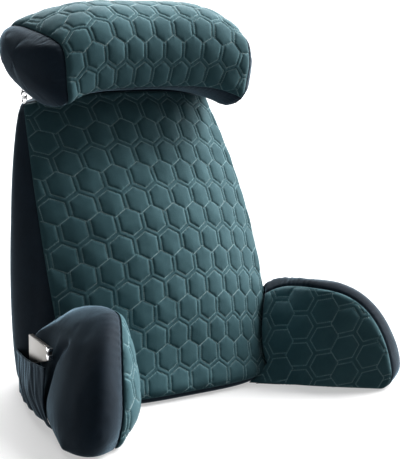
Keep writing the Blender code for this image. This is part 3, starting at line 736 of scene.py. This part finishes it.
# ------------------------------------------------------------------------ arms
# Two half-moon arms of the same velvet, each a filled form with a quilted inner
# face and a plain gusset sewn to its outline.  They are sewn to the cushion at
# its lower front corners; the left one is stuffed fuller and stands further out.
ARM_HEIGHT = 0.174        # seam height of the inner face
ARM_PEAK = 0.100          # how far from the root the seam is highest
ARM_DROP = {              # fall of the top to the root, from the inner seam over
                          # the ridge to the outer seam, of each arm
    -1: (0.026, 0.025, 0.029, 0.036),
    1: (0.026, 0.023, 0.025, 0.028),
}
ARM_BURIED = 0.100        # length of the root before it is cut to the back
OUTER_SHORT = 0.035       # its outer side is this much shorter
ARM_CROWN = 0.012         # bulge of the faces
OUTER_CROWN = 0.7         # share of it on the outer face
CROWN_FOOT = 0.050        # it comes in over this height from the floor
NOSE_POWER = 2.4          # the outline is a blunt ellipse of this power
GUSSET_FOOT = 0.030       # it comes in over this height from the floor
ROOT_REACH = 0.070        # the root's inner face leans out over this length,
ROOT_FOOT = 0.030         # by this much at the floor
ROOT_SKIRT = 0.035        # height over which that starts from nothing
QUILT_LIFT = 0.0082       # room for the front's quilting behind the root
ARM_THIN = 0.030          # an arm is nowhere thinner than this
FOOT_REACH = 0.030        # the root goes this much further back at the floor
FRONT_AIR = 0.0102        # its face ends this far in front of the cushion
SHOULDER = 0.150          # height of the second outer column below
ARM_OUTER = np.array((    # along the arm, outer face at the floor and shoulder
    (-0.10, 0.060, 0.100),
    (-0.02, 0.100, 0.145),
    (0.000, 0.115, 0.132),
    (0.030, 0.130, 0.112),
    (0.070, 0.128, 0.098),
    (0.120, 0.117, 0.081),
    (0.170, 0.106, 0.066),
    (0.255, 0.090, 0.048),
))
ROLL_TOP = 0.065          # the faces roll in below this height
FACE_MIDDLE = np.array((0.07, 0.080))
QUILT_OUT = 0.985         # share of the way to the seam that is quilted
FINE = 4                  # points for each of the coarse steps below
FLOOR_STEPS, TOE_STEPS, NOSE_STEPS, TOP_STEPS, ROOT_STEPS = (
    n * FINE for n in (7, 4, 9, 8, 6))
ARMS = {                  # side, splay, root, length from the peak to the tip,
                          # how far the seams lie back from it, the toe, how far
                          # the inner face draws in at its top, how far its root
                          # leans, the faces' roll at the floor, how much fuller
                          # and taller the filling makes it, the stitching's
                          # place and slope, the gathers at its seam, the
                          # gusset's bulge and the share by which the outer seam
                          # lies lower
    "left": dict(side=-1, splay=32.0, root=(-0.138, -0.251), nose=0.155, back=0.034,
                 toe=(0.020, 0.030), oval=0.005, lean=0.034, roll=(0.016, 0.004),
                 full=1.90, tall=1.11, place=(0.069, 0.080), tilt=0.0, gathers=0.0006,
                 gusset=0.016, fall=0.13),
    "right": dict(side=1, splay=47.7, root=(0.141, -0.254), nose=0.134, back=-0.001,
                  toe=(0.020, 0.030), oval=0.022, lean=0.085, roll=(0.006, 0.006),
                  full=1.0, tall=1.0, place=(0.069, 0.056), tilt=0.25, gathers=0.0006,
                  gusset=0.015, fall=0.0),
}


def arm_top(arm, s, share=0.0):
    """Height of the top behind its peak, at a share of the arm's thickness."""
    drop = np.interp(share, (0, 0.4, 0.6, 1), ARM_DROP[arm["side"]])
    return ARM_HEIGHT - drop * ((ARM_PEAK - s) / ARM_PEAK)**2


def arm_directions(arm):
    turn = math.radians(arm["splay"])
    along = np.array((arm["side"] * math.sin(turn), -math.cos(turn), 0.0))
    out = np.array((arm["side"] * math.cos(turn), math.sin(turn), 0.0))
    return np.array((*arm["root"], 0.0)), along, out


def arm_crown(arm, s, z):
    nose = arm["nose"] - arm["back"]
    reach = (np.maximum(s - ARM_PEAK, 0) / nose)**NOSE_POWER + (z / ARM_HEIGHT)**2
    foot = np.minimum(z / CROWN_FOOT, 1)
    full = np.maximum(1 - reach**1.8, 0)
    return ARM_CROWN * arm["full"] * full * (1 - (1 - foot)**2)


def floor_roll(depth, z):
    return depth * np.maximum(1 - z / ROLL_TOP, 0)**2


def arm_inner(arm, s, z):
    root = np.exp(-(np.maximum(s, 0) / ROOT_REACH)**2)
    high = z / ARM_HEIGHT
    foot = ROOT_FOOT * (1 - np.maximum(1 - z / ROOT_SKIRT, 0)**2)
    lean = arm["oval"] * high**2 + (foot + arm["lean"] * high) * root
    return lean + floor_roll(arm["roll"][0], z) - arm_crown(arm, s, z)


def eased(s, column):
    """A column of the outer face's table, without its corners."""
    spots = (np.interp(s + ease, ARM_OUTER[:, 0], ARM_OUTER[:, column])
             for ease in np.linspace(-0.024, 0.024, 9))
    return sum(spots) / 9


def arm_outer(arm, s, z):
    foot = eased(s, 1)
    foot = foot + (eased(s, 2) - foot) * (np.maximum(z, 0) / SHOULDER)**1.3
    return foot - floor_roll(arm["roll"][1], z) + OUTER_CROWN * arm_crown(arm, s, z)


def arm_point(arm, s, z, share=0.0):
    """Point of an arm, share 0 on the inner face and 1 on the outer one."""
    s, z, share = np.broadcast_arrays(*(np.asarray(v, float) for v in (s, z, share)))
    root, along, out = arm_directions(arm)
    inner = arm_inner(arm, s, z)
    outer = np.maximum(arm_outer(arm, s, z), inner + ARM_THIN)
    away = inner + (outer - inner) * share
    up = np.array((0, 0, arm["tall"]))
    return root + s[..., None] * along + away[..., None] * out + z[..., None] * up


def clear_of_front(arm, z):
    """Where an arm's inner face first comes out of the quilted front."""
    s = np.arange(-ARM_BURIED, 0.12, 0.0004)
    x, y, high = arm_point(arm, s, z).T
    share = np.minimum(np.abs(x) / half_width(high), 1)
    hidden = y > seam_depth(high) - bulge(share, high) - FRONT_AIR
    return s[np.argmin(hidden)] + 0.002


def arm_line(arm, share):
    """Outline of an arm at a share of its thickness: along the floor, round the
    toe and nose, back along the top and down the root."""
    reach = arm["nose"] - arm["back"] * abs(2 * share - 1)**2.2
    toe_long, toe_high = arm["toe"]
    heel = ARM_PEAK + reach - toe_long
    fall = 1 - arm["fall"] * share
    deep = min(share / 0.3, 1)

    def start(z):
        clear = clear_of_front(arm, max(z, FOOT_ROUND)) if deep < 1 else 0
        clear -= FOOT_REACH * max(1 - z / FOOT_ROUND, 0)
        return (1 - deep) * clear - deep * (ARM_BURIED - OUTER_SHORT * share)

    line = [(start(0) + (heel - start(0)) * i / FLOOR_STEPS, 0)
            for i in range(FLOOR_STEPS)]
    for i in range(TOE_STEPS):
        turn = math.pi / 2 * i / TOE_STEPS
        line.append((heel + toe_long * math.sin(turn),
                     toe_high * (1 - math.cos(turn))))
    first = math.asin(toe_high / ARM_HEIGHT)
    for i in range(NOSE_STEPS):
        turn = first + (math.pi / 2 - first) * i / NOSE_STEPS
        bend = math.cos(turn) / math.cos(first)
        high = ARM_HEIGHT * math.sin(turn)
        line.append((ARM_PEAK + reach * bend**(2 / NOSE_POWER), high * fall))
    first_guess = start(ARM_HEIGHT - ARM_DROP[arm["side"]][0])
    corner = start(arm_top(arm, first_guess, share) * fall)
    for i in range(TOP_STEPS):
        s = ARM_PEAK + (corner - ARM_PEAK) * i / TOP_STEPS
        line.append((s, arm_top(arm, s, share) * fall))
    high = arm_top(arm, corner, share) * fall
    for i in range(ROOT_STEPS):
        z = high * (1 - i / ROOT_STEPS)
        line.append((start(z), z))
    return np.array(line)


def gusset_ring(arm, share):
    line = arm_line(arm, share)
    ahead = np.roll(line, -1, axis=0) - np.roll(line, 1, axis=0)
    normal = np.stack([ahead[:, 1], -ahead[:, 0]], axis=1)
    normal /= np.linalg.norm(normal, axis=1)[:, None]
    bulge = arm["gusset"] * math.sin(math.pi * share)**0.8 if 0 < share < 1 else 0
    free = bulge * np.minimum(line[:, 1] / GUSSET_FOOT, 1)
    forward = np.where(line[:, 0] > ARM_PEAK, free * normal[:, 0], 0)
    return arm_point(arm, line[:, 0] + forward, line[:, 1] + normal[:, 1] * free, share)


def arm_body(arm):
    """Rings from the middle of the outer face, over the gusset, to the middle
    of the inner face."""
    face_shares = (0.1, 0.2, 0.3, 0.4, 0.5, 0.6, 0.7, 0.78, 0.85, 0.91, 0.955, 0.985)
    rings = []
    for side, shares in ((1, face_shares), (0, face_shares[::-1])):
        line = arm_line(arm, side)
        if not side:
            turns = 0.5 - 0.5 * np.cos(np.linspace(0, np.pi, 31))
            rings += [gusset_ring(arm, share) for share in turns[::-1]]
        for share in shares:
            flat = FACE_MIDDLE + (line - FACE_MIDDLE) * share
            rings.append(arm_point(arm, flat[:, 0], flat[:, 1], side))
    points, faces = closed_rings(rings)
    if arm["side"] < 0:
        faces = [tuple(reversed(face)) for face in faces]
    return points, faces


def arm_surface(arm):
    def surface(flat):
        s, z = flat.T
        small = 1e-4
        across = arm_point(arm, s + small, z) - arm_point(arm, s - small, z)
        up = arm_point(arm, s, z + small) - arm_point(arm, s, z - small)
        return arm_point(arm, s, z), surface_normal(across, up) * arm["side"]
    return surface


def arm_lay(arm):
    """Square stitching; the right arm's rows run upright and climb outwards."""
    def lay(spots):
        a, b = spots.T * PITCH
        if arm["side"] > 0:
            a, b = b, a
        return np.stack([a, b + arm["tilt"] * a], axis=1) + arm["place"]
    return lay


def outward(points, faces):
    """Outward direction at each point of a closed form."""
    normals = np.zeros_like(points)
    for face in faces:
        corner = points[list(face)]
        ahead = np.cross(corner[1] - corner[0], corner[2] - corner[0])
        normals[list(face)] += ahead
    return normals / np.maximum(np.linalg.norm(normals, axis=1), 1e-12)[:, None]


CREASE = np.array((       # fold of the left arm's outer face, along and up
    (0.098, 0.020), (0.102, 0.050), (0.106, 0.075), (0.104, 0.098),
    (0.114, 0.118), (0.130, 0.131),
))


CREASE_DEPTH, CREASE_WIDE = 0.007, 0.009
SWELL = 0.016             # how far the root's outer side swells beside it
SWELL_AT = (0.005, 0.108)           # along and up the arm,
SWELL_WIDE = (0.040, 0.030)         # and how wide each way
EVEN = 0.0045             # spacing of the arm's evened points
SOLE = (0.026, 0.018)     # held below this height, over this length


def own_places(arm, points):
    """Places along an arm, up it, and out from its root's upright plane."""
    root, along, out = arm_directions(arm)
    return (points - root) @ along, points[:, 2] / arm["tall"], (points - root) @ out


def line_distance(points, line):
    far = np.full(len(points), 9.0)
    for a, b in zip(line, line[1:]):
        t = np.clip(((points - a) @ (b - a)) / ((b - a) @ (b - a)), 0, 1)
        far = np.minimum(far, np.linalg.norm(a + t[:, None] * (b - a) - points, axis=1))
    return far


def stuffed_arm(body, arm):
    """Evens the cloth out, then fills it; the quilted face, the sole and the
    sewn root keep their places."""
    worked(body, "REMESH", mode="VOXEL", voxel_size=EVEN)
    points = coordinates(body) - SHIFT
    s, z, away = own_places(arm, points)
    inner, outer = arm_inner(arm, s, z), arm_outer(arm, s, z)
    share = (away - inner) / np.maximum(outer - inner, ARM_THIN)
    held = np.clip(1.4 - np.abs(share) / 0.03, 0, 1) * (s < arm["nose"] + ARM_PEAK)
    held = np.maximum(held, np.clip((SOLE[0] - points[:, 2]) / SOLE[1], 0, 1))
    held = np.maximum(held, np.clip(1 - (s - 0.012) / 0.03, 0, 1))
    if arm["side"] < 0:
        fold = line_distance(np.stack([s, z], axis=1), CREASE)
        fold = np.where(share > 0.6, fold, 1.0)
        out = arm_directions(arm)[2]
        points -= CREASE_DEPTH * np.exp(-(fold / CREASE_WIDE)**2)[:, None] * out
        swell = np.exp(-((s - SWELL_AT[0]) / SWELL_WIDE[0])**2
                       - ((z - SWELL_AT[1]) / SWELL_WIDE[1])**2)
        points += SWELL * (swell * np.clip(share * 2 - 0.6, 0, 1))[:, None] * out
        held = np.maximum(held, np.exp(-(fold / 0.007)**2))
        held = np.maximum(held, (share > 0.6) & (s < 0.088) & (z < 0.13))
        reshape(body, points + SHIFT)
    smoothed(body, held, 24)
    filled(body, held, 0.007, pressure=6.0, slack=0.01)
    smoothed(body, held, 12)
    subdivided(body)
    sewn(body, [fine_line(gusset_ring(arm, 0.0))], gathers=arm["gathers"], seed=4)
    body.data.shade_smooth()


def fine_line(line, step=0.002):
    """A closed line of points, filled up to one point a step."""
    line = np.concatenate([line, line[:1]])
    run = np.cumsum(np.linalg.norm(np.diff(line, axis=0), axis=1))
    run = np.concatenate([[0], run])
    spots = np.arange(0, run[-1], step)
    return np.stack([np.interp(spots, run, line[:, i]) for i in range(3)], axis=1)


back_out = outward(back_points, back_faces)
lift = np.where(is_front, QUILT_LIFT, GAP)[:, None]
for name, arm in ARMS.items():
    room = piece("room_for_back", back_points + lift * back_out, back_faces)
    body = piece(f"arm_{name}_velvet", *arm_body(arm), plain_velvet)
    worked(body, "BOOLEAN", operation="DIFFERENCE", object=room, solver="FAST")
    bpy.data.objects.remove(room)
    stuffed_arm(body, arm)
    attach(body, "root")
    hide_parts(f"arm_{name}")

    line = arm_line(arm, 0)
    rim = FACE_MIDDLE + (line - FACE_MIDDLE) * QUILT_OUT
    left = arm["side"] < 0
    points, faces, cells, highlights = quilted_panel(rim, arm_lay(arm), arm_surface(arm), 7,
                                                flip=left)
    arm_quilt = quilt(f"arm_quilt_{name}_velvet", points, faces, highlights)
    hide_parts(f"arm_quilt_{name}")
    stitched(f"arm_stitching_{name}", cells, rim, arm_lay(arm), arm_surface(arm))


# -------------------------------------------------------------------- headrest
# A bolster of the same velvet across the top, its front and top quilted, its
# domed ends and underside plain.  Short chains hook it to the top corners.
HEAD_HALF = 0.193         # half length between the end seams
HEAD_DOME = (0.038, 0.027)          # bulge of the left end and the right one
HEAD_FULL = 0.011         # how much longer the right half is stuffed,
HEAD_TUCK = 0.020         # how far its lower edge is drawn in,
HEAD_SAG = 0.022          # and how far its underside hangs
HEAD_HELD = 0.72          # from this share on, the filling leaves it as it is
HEAD_UNDER = 0.62         # share of the section where its underside starts
HEAD_MID = np.array((0.000, -0.030, 0.612))
HEAD_ARCH = (-0.012, -0.030)        # the ends come forward and droop by this
HEAD_TURN = 0.10          # slope of the end seams in plan
HEAD_PLUMP = 0.22         # the right end is this much fuller on top
HEAD_SECTION = np.array((  # forward and up at the middle, then at the ends,
                           # from the lower front seam, over the top
    (0.084, -0.077, 0.097, -0.071),
    (0.102, -0.042, 0.098, -0.040),
    (0.106, -0.004, 0.096, -0.005),
    (0.093, 0.034, 0.087, 0.022),
    (0.056, 0.059, 0.061, 0.036),
    (0.010, 0.068, 0.010, 0.049),
    (-0.040, 0.061, -0.055, 0.059),
    (-0.080, 0.034, -0.088, 0.045),
    (-0.092, -0.006, -0.090, 0.014),
    (-0.080, -0.064, -0.068, -0.024),
    (-0.044, -0.081, -0.022, -0.052),
    (0.030, -0.085, 0.040, -0.076),
))
HEAD_QUILTED = 0.54       # share of the section that is quilted


def head_section(w, t):
    """Point of the closed section, w round it, t along the headrest."""
    count = len(HEAD_SECTION)
    k = np.floor(w * count).astype(int)
    f = (w * count - k)[..., None]
    blend = (t**4)[..., None]

    def row(j):
        table = HEAD_SECTION[(k + j) % count]
        return table[..., :2] * (1 - blend) + table[..., 2:] * blend

    p0, p1, p2, p3 = (row(j) for j in (-1, 0, 1, 2))
    return 0.5 * (2 * p1 + (p2 - p0) * f + (2 * p0 - 5 * p1 + 4 * p2 - p3) * f**2
                  + (3 * p1 - p0 - 3 * p2 + p3) * f**3)


def head_point(t, w, size=1.0, beyond=0.0):
    t, w = np.broadcast_arrays(np.asarray(t, float), np.asarray(w, float))
    p, q = np.moveaxis(head_section(w, t) * size, -1, 0)
    q = q * (1 + np.where((t > 0) & (q > 0), HEAD_PLUMP * t**3, 0))
    right, low = np.maximum(t, 0), np.clip(-q / 0.077, 0, 1.2)
    under = np.sin(np.pi * np.clip((w - HEAD_UNDER) / (1 - HEAD_UNDER), 0, 1))
    q = q - HEAD_SAG * right**2 * size * under
    x = HEAD_HALF * t + beyond - HEAD_TURN * t * p
    x = x + HEAD_FULL * right**2 - HEAD_TUCK * right**3 * low**1.6
    y = HEAD_ARCH[0] * t * t - p
    z = HEAD_ARCH[1] * t**4 + q
    return np.stack([x, y, z], axis=-1) + HEAD_MID


round_steps = np.arange(150) / 150
rings = []
for turn in np.radians(np.linspace(86, 0, 16)[:-1]):
    rings.append(head_point(1.0, round_steps, math.cos(turn),
                            HEAD_DOME[1] * math.sin(turn)))
rings += [head_point(t, round_steps) for t in np.linspace(1, -1, 75)]
for turn in np.radians(np.linspace(0, 86, 16)[1:]):
    rings.append(head_point(-1.0, round_steps, math.cos(turn),
                            -HEAD_DOME[0] * math.sin(turn)))
points, faces = closed_rings(rings)
headrest = piece("headrest_velvet", points, faces, plain_velvet)
w = np.tile(round_steps, len(rings))
w = np.concatenate([w, [0.9, 0.9]])
side = np.abs(np.arange(len(rings)) - (len(rings) - 1) / 2) <= 37.5
side = np.concatenate([np.repeat(side, len(round_steps)), [False, False]])
filled(headrest, side & ((w <= HEAD_QUILTED) | (w > HEAD_HELD)), 0.008, pressure=5.0,
       slack=0.02)
subdivided(headrest)
quilted_round = np.linspace(0, 1, 300)
head_seams = [head_point(end, quilted_round) for end in (-1.0, 1.0)]
head_seams += [head_point(np.linspace(-1, 1, 200), edge)
               for edge in (0.0, HEAD_QUILTED)]
sewn(headrest, head_seams, gathers=0.0010, reach=0.012, seed=9)
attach(headrest, "root")
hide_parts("headrest")

girth_steps = np.linspace(0, HEAD_QUILTED, 200)
girth = head_section(girth_steps, np.full(200, 0.5))
girth = np.cumsum(np.linalg.norm(np.diff(girth, axis=0), axis=1))
girth = np.concatenate([[0], girth])


def head_surface(flat):
    t, w = flat[:, 0] / HEAD_HALF, np.interp(flat[:, 1], girth, girth_steps)
    small = 1e-3
    across = head_point(t + small, w) - head_point(t - small, w)
    up = head_point(t, w + small) - head_point(t, w - small)
    return head_point(t, w), surface_normal(across, up)


def head_lay(spots):
    """The headrest's stitching, drawn closer along it by the filling."""
    u, v = spots.T
    a = 0.0135 + 0.0025 * v + (0.0428 + 0.0022 * v) * u - 0.0003 * u * u
    return np.stack([a, 0.1053 + PITCH * v], axis=1)


across, up = np.linspace(-HEAD_HALF, HEAD_HALF, 120), np.linspace(0, girth[-1], 80)
rim = [(a, 0.0) for a in across] + [(HEAD_HALF, b) for b in up[1:]]
rim += [(a, girth[-1]) for a in across[::-1][1:]]
rim += [(-HEAD_HALF, b) for b in up[::-1][1:-1]]
points, faces, head_cells, highlights = quilted_panel(np.array(rim), head_lay,
                                                 head_surface, 11)
headrest_quilt = quilt("headrest_quilt_velvet", points, faces, highlights)
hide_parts("headrest_quilt")
stitched("headrest_stitching", head_cells, np.array(rim), head_lay, head_surface)


# ------------------------------------------------------------------ side pocket
# A pocket of the same plain velvet between the cushion's left side and the left
# arm: sewn down both edges, gathered at its foot and hemmed round its mouth.
POCKET_MOUTH = (0.080, 0.104)       # height of the open edge, rear and front
POCKET_FOOT = 0.0030
POCKET_REAR = -0.055      # depth of the rear seam
POCKET_FRONT = 0.108      # how far along the arm its front seam lies
POCKET_BULGE = 0.010
POCKET_STAND = 0.011      # how far its mouth stands off the arm, round the case
POCKET_CLOTH = 0.0016
HEM = 0.007               # width of the turned edge
POCKET_FOLD = 0.0016      # depth of the gathers


def side_x(y, z):
    """Half width of the cushion's side at a depth and height."""
    back = (y - seam_depth(z)) / (rear_depth(z) - seam_depth(z))
    return (half_width(z) + side_swell(back, z)) * (1 - back**BOXY)**(1 / BOXY)


def pocket_sheet(thick):
    """Points of the pocket's cloth, left edge to right and foot to mouth."""
    arm = ARMS["left"]
    share, high = np.meshgrid(np.linspace(0, 1, 121), np.linspace(0, 1, 37))
    mouth = POCKET_MOUTH[0] + (POCKET_MOUTH[1] - POCKET_MOUTH[0]) * share
    z = POCKET_FOOT + (mouth - POCKET_FOOT) * high
    side = side_x(POCKET_REAR, np.maximum(z, FOOT_ROUND)) - 0.001
    rear = np.stack([-side, np.full_like(z, POCKET_REAR), z], axis=-1)
    front = arm_point(arm, POCKET_FRONT, z / arm["tall"], 1.0)
    front = front + (POCKET_STAND * high**2)[..., None] * arm_directions(arm)[2]
    chord = front - rear
    away = np.stack([chord[..., 1], -chord[..., 0], np.zeros_like(z)], axis=-1)
    away /= np.linalg.norm(away, axis=-1)[..., None]
    arch = np.sin(np.pi * share)**0.7
    flat = np.stack([share * 0.16 + 0.012 * high, 0.25 * high * 0.09], axis=-1)
    flat = flat.reshape(-1, 2)
    folds = waves(flat * (1, 0.5), 0.030, 21)
    folds = (folds + 0.35 * waves(flat * (1, 0.7), 0.011, 22)).reshape(z.shape)
    folds = POCKET_FOLD * folds * np.sqrt(arch) * (1.25 - 0.75 * high)
    hem = 0.0007 * np.clip((z - mouth + HEM) / 0.001, 0, 1)
    bulge = POCKET_BULGE * arch * (0.55 + 0.45 * np.sin(np.pi * high))
    stand = bulge + folds + hem * thick / POCKET_CLOTH + thick
    return rear + chord * share[..., None] + away * stand[..., None]


outer, inner = pocket_sheet(POCKET_CLOTH), pocket_sheet(0.0)
rows, columns = outer.shape[:2]
skin = rows * columns
faces = band_faces(rows, columns, False)
faces += [tuple(skin + k for k in reversed(face)) for face in faces]
edge = list(range(columns)) + [r * columns + columns - 1 for r in range(1, rows)]
edge += [(rows - 1) * columns + k for k in range(columns - 2, -1, -1)]
edge += [r * columns for r in range(rows - 2, 0, -1)]
faces += [(b, a, skin + a, skin + b) for a, b in zip(edge, edge[1:] + edge[:1])]
points = np.concatenate([outer.reshape(-1, 3), inner.reshape(-1, 3)])
pocket = piece("side_pocket_velvet", points, faces, plain_velvet)
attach(pocket, "root")
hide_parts("pocket_left")


# ------------------------------------------------------------------- metal case
# The flat case of satin metal that stands in the pocket's mouth: its front end
# is a bright pressed cap with a dark catch in it.
def metal(name, colour, roughness, grain=(40.0, 40.0, 900.0)):
    """Brushed or polished metal, by the size of its grain each way."""
    mat = bpy.data.materials.new(name)
    tree, shader, add = node_maker(mat)
    link = tree.links.new
    place = add("ShaderNodeTexCoord")
    turned = add("ShaderNodeMapping")
    turned.inputs["Scale"].default_value = grain
    scratches = add("ShaderNodeTexNoise", Scale=1.0, Detail=4.0)
    bump = add("ShaderNodeBump", Strength=0.10, Distance=0.0003)
    tone = add("ShaderNodeValToRGB")
    tone.color_ramp.elements[0].color = (*(c * 0.86 for c in colour), 1)
    tone.color_ramp.elements[1].color = (*colour, 1)
    link(place.outputs["Object"], turned.inputs["Vector"])
    link(turned.outputs["Vector"], scratches.inputs["Vector"])
    link(scratches.outputs["Fac"], bump.inputs["Height"])
    link(scratches.outputs["Fac"], tone.inputs["Fac"])
    link(tone.outputs["Color"], shader.inputs["Base Color"])
    link(bump.outputs["Normal"], shader.inputs["Normal"])
    shader.inputs["Metallic"].default_value = 1.0
    shader.inputs["Roughness"].default_value = roughness
    return mat


CASE_REAR = np.array((-0.2670, -0.1550))     # middle of the case's two ends, in
CASE_FRONT = np.array((-0.2920, -0.2736))    # plan
CASE_FOOT = (0.080, 0.1135)                  # its lower edge, rear and front,
CASE_TOP = (0.1305, 0.1340)                  # and its upper one
CASE_THICK = 0.0080
CAP = 0.0100              # length of the bright end cap


def bar(name, start, end, foot, top, thick, bevel, finish):
    """A bevelled bar between two shares of the case's length."""
    bpy.ops.object.select_all(action="DESELECT")
    bpy.ops.mesh.primitive_cube_add(size=1)
    made = bpy.context.object
    made.name = made.data.name = name
    chord = CASE_FRONT - CASE_REAR
    across = np.array((-chord[1], chord[0])) / np.linalg.norm(chord)
    for corner in made.data.vertices:
        share = end if corner.co.x > 0 else start
        plan = CASE_REAR + chord * share + across * thick * math.copysign(0.5, corner.co.y)
        low, high = top if corner.co.z > 0 else foot
        corner.co = Vector((*plan, low + (high - low) * share)) + Vector(SHIFT)
    worked(made, "BEVEL", width=bevel, segments=3)
    bpy.ops.object.mode_set(mode="EDIT")
    bpy.ops.mesh.select_all(action="SELECT")
    bpy.ops.mesh.normals_make_consistent(inside=False)
    bpy.ops.object.mode_set(mode="OBJECT")
    bpy.ops.object.shade_smooth_by_angle(angle=math.radians(40))
    made.data.materials.clear()
    made.data.materials.append(finish)
    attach(made, "root")
    return made


satin = metal("satin_metal", (0.24, 0.23, 0.215), 0.36, (500.0, 500.0, 30.0))
bright = metal("bright_metal", (0.86, 0.87, 0.88), 0.14)
dark_metal = metal("dark_catch", (0.05, 0.05, 0.055), 0.35)
cap_start = 1 - CAP / np.linalg.norm(CASE_FRONT - CASE_REAR)
case = bar("case_body", 0.0, cap_start - 0.002, CASE_FOOT, CASE_TOP, CASE_THICK, 0.0012,
           satin)
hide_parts("plate_left")
bar("case_cap_upper", cap_start, 1.0, (0.1280, 0.1280), (0.1344, 0.1344), 0.0094, 0.0010,
    bright)
bar("case_cap_lower", cap_start, 1.0, (0.1140, 0.1140), (0.1230, 0.1230), 0.0094, 0.0010,
    bright)
bar("case_catch", cap_start + 0.004, 0.985, (0.1228, 0.1228), (0.1282, 0.1282), 0.0070,
    0.0004, dark_metal)


# ----------------------------------------------------------------------- chains
# Four steel links on each side hook the headrest to the back's top corners; the
# right ones are near-black, painted shade for the shadow they hang in.  Each is a
# closed ring of wire, turned a quarter from the one below.
LINK_RADIUS = 0.0060
LINK_WIRE = 0.0016
LINK_TURN = 0.2           # how far the chain is turned on its foot
CHAIN_FOOT = (0.190, 0.007, 0.5042)

steel = metal("polished_steel", (0.80, 0.81, 0.82), 0.18)
# Painted shade: a near-black copy of the steel for the right chain, which hangs in shadow.
shaded_steel = metal("steel_painted_shade", (0.04, 0.04, 0.045), 0.38)
step = 2 * LINK_RADIUS - 2 * LINK_WIRE - GAP
for side, word, finish in ((-1, "left", steel), (1, "right", shaded_steel)):
    for number in range(4):
        height = CHAIN_FOOT[2] + LINK_RADIUS + LINK_WIRE + number * step
        spot = Vector((side * CHAIN_FOOT[0], CHAIN_FOOT[1], height)) + Vector(SHIFT)
        bpy.ops.object.select_all(action="DESELECT")
        bpy.ops.mesh.primitive_torus_add(
            major_radius=LINK_RADIUS, minor_radius=LINK_WIRE, major_segments=40,
            minor_segments=14, location=spot,
            rotation=(math.pi / 2, 0, math.pi / 2 * ((number + 1) % 2) + LINK_TURN))
        ring = bpy.context.object
        ring.name = ring.data.name = f"link_{word}_{number + 1}"
        bpy.ops.object.transform_apply(location=True, rotation=True, scale=True)
        ring.data.shade_smooth()
        ring.data.materials.clear()
        ring.data.materials.append(finish)
        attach(ring, "root")
        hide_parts(f"hook_{word}_{number + 1}")


# ---------------------------------------------------------------- camera, light
# The photograph's camera, a plain pale floor that runs out of sight, three large
# soft lamps, and a pale backdrop that is brightest ahead of the camera.
scene = bpy.context.scene
scene.view_settings.view_transform = "Standard"
eye = Vector((-1.242, -1.8822, 0.6494))
target = Vector((0.0909, 0.0940, 0.2663))
lens = bpy.data.cameras.new("camera")
lens.lens = 101.96
lens.clip_end = 200
camera = bpy.data.objects.new("camera", lens)
camera.location = eye
camera.rotation_mode = "QUATERNION"
camera.rotation_quaternion = (target - eye).to_track_quat("-Z", "Y")
scene.collection.objects.link(camera)
scene.camera = camera

paper = bpy.data.materials.new("floor_paper")
tree, shader, add = node_maker(paper)
shader.inputs["Base Color"].default_value = (0.50, 0.50, 0.50, 1)
shader.inputs["Emission Color"].default_value = (1, 1, 1, 1)
shader.inputs["Emission Strength"].default_value = 0.45
shader.inputs["Roughness"].default_value = 0.9
bpy.ops.object.select_all(action="DESELECT")
bpy.ops.mesh.primitive_circle_add(vertices=96, radius=60, fill_type="NGON")
floor = bpy.context.object
floor.name = "floor"
floor.data.materials.append(paper)
floor.visible_diffuse = False


LAMPS = {                 # strength, softness, turn to the right and climb
    "key": (5.3, 36, 88, 44),
    "low_lamp": (3.9, 40, 86, 12),
    "rim_lamp": (4.0, 40, 150, 42),
}
for name, (strength, soft, turn, climb) in LAMPS.items():
    lamp = bpy.data.lights.new(name, "SUN")
    lamp.energy = strength
    lamp.angle = math.radians(soft)
    turn, climb = math.radians(turn), math.radians(climb)
    toward = Vector((math.sin(turn) * math.cos(climb), -math.cos(turn) * math.cos(climb),
                     math.sin(climb)))
    stand = bpy.data.objects.new(name, lamp)
    stand.rotation_mode = "QUATERNION"
    stand.rotation_quaternion = (-toward).to_track_quat("-Z", "Y")
    scene.collection.objects.link(stand)

world = bpy.data.worlds.new("room")
scene.world = world
world.use_nodes = True
tree = world.node_tree
sky = tree.nodes["Background"]
sky.inputs["Color"].default_value = (0.97, 0.98, 1.0, 1)
place = tree.nodes.new("ShaderNodeTexCoord")
ahead = tree.nodes.new("ShaderNodeVectorMath")
ahead.operation = "DOT_PRODUCT"
ahead.inputs[1].default_value = Vector((target.x - eye.x, target.y - eye.y, 0)).normalized()
fade = tree.nodes.new("ShaderNodeMapRange")
fade.inputs["From Min"].default_value = 0.66
fade.inputs["From Max"].default_value = 0.92
fade.inputs["To Min"].default_value = 0.14
fade.inputs["To Max"].default_value = 1.50
tree.links.new(place.outputs["Generated"], ahead.inputs[0])
tree.links.new(ahead.outputs["Value"], fade.inputs["Value"])
tree.links.new(fade.outputs[0], sky.inputs["Strength"])
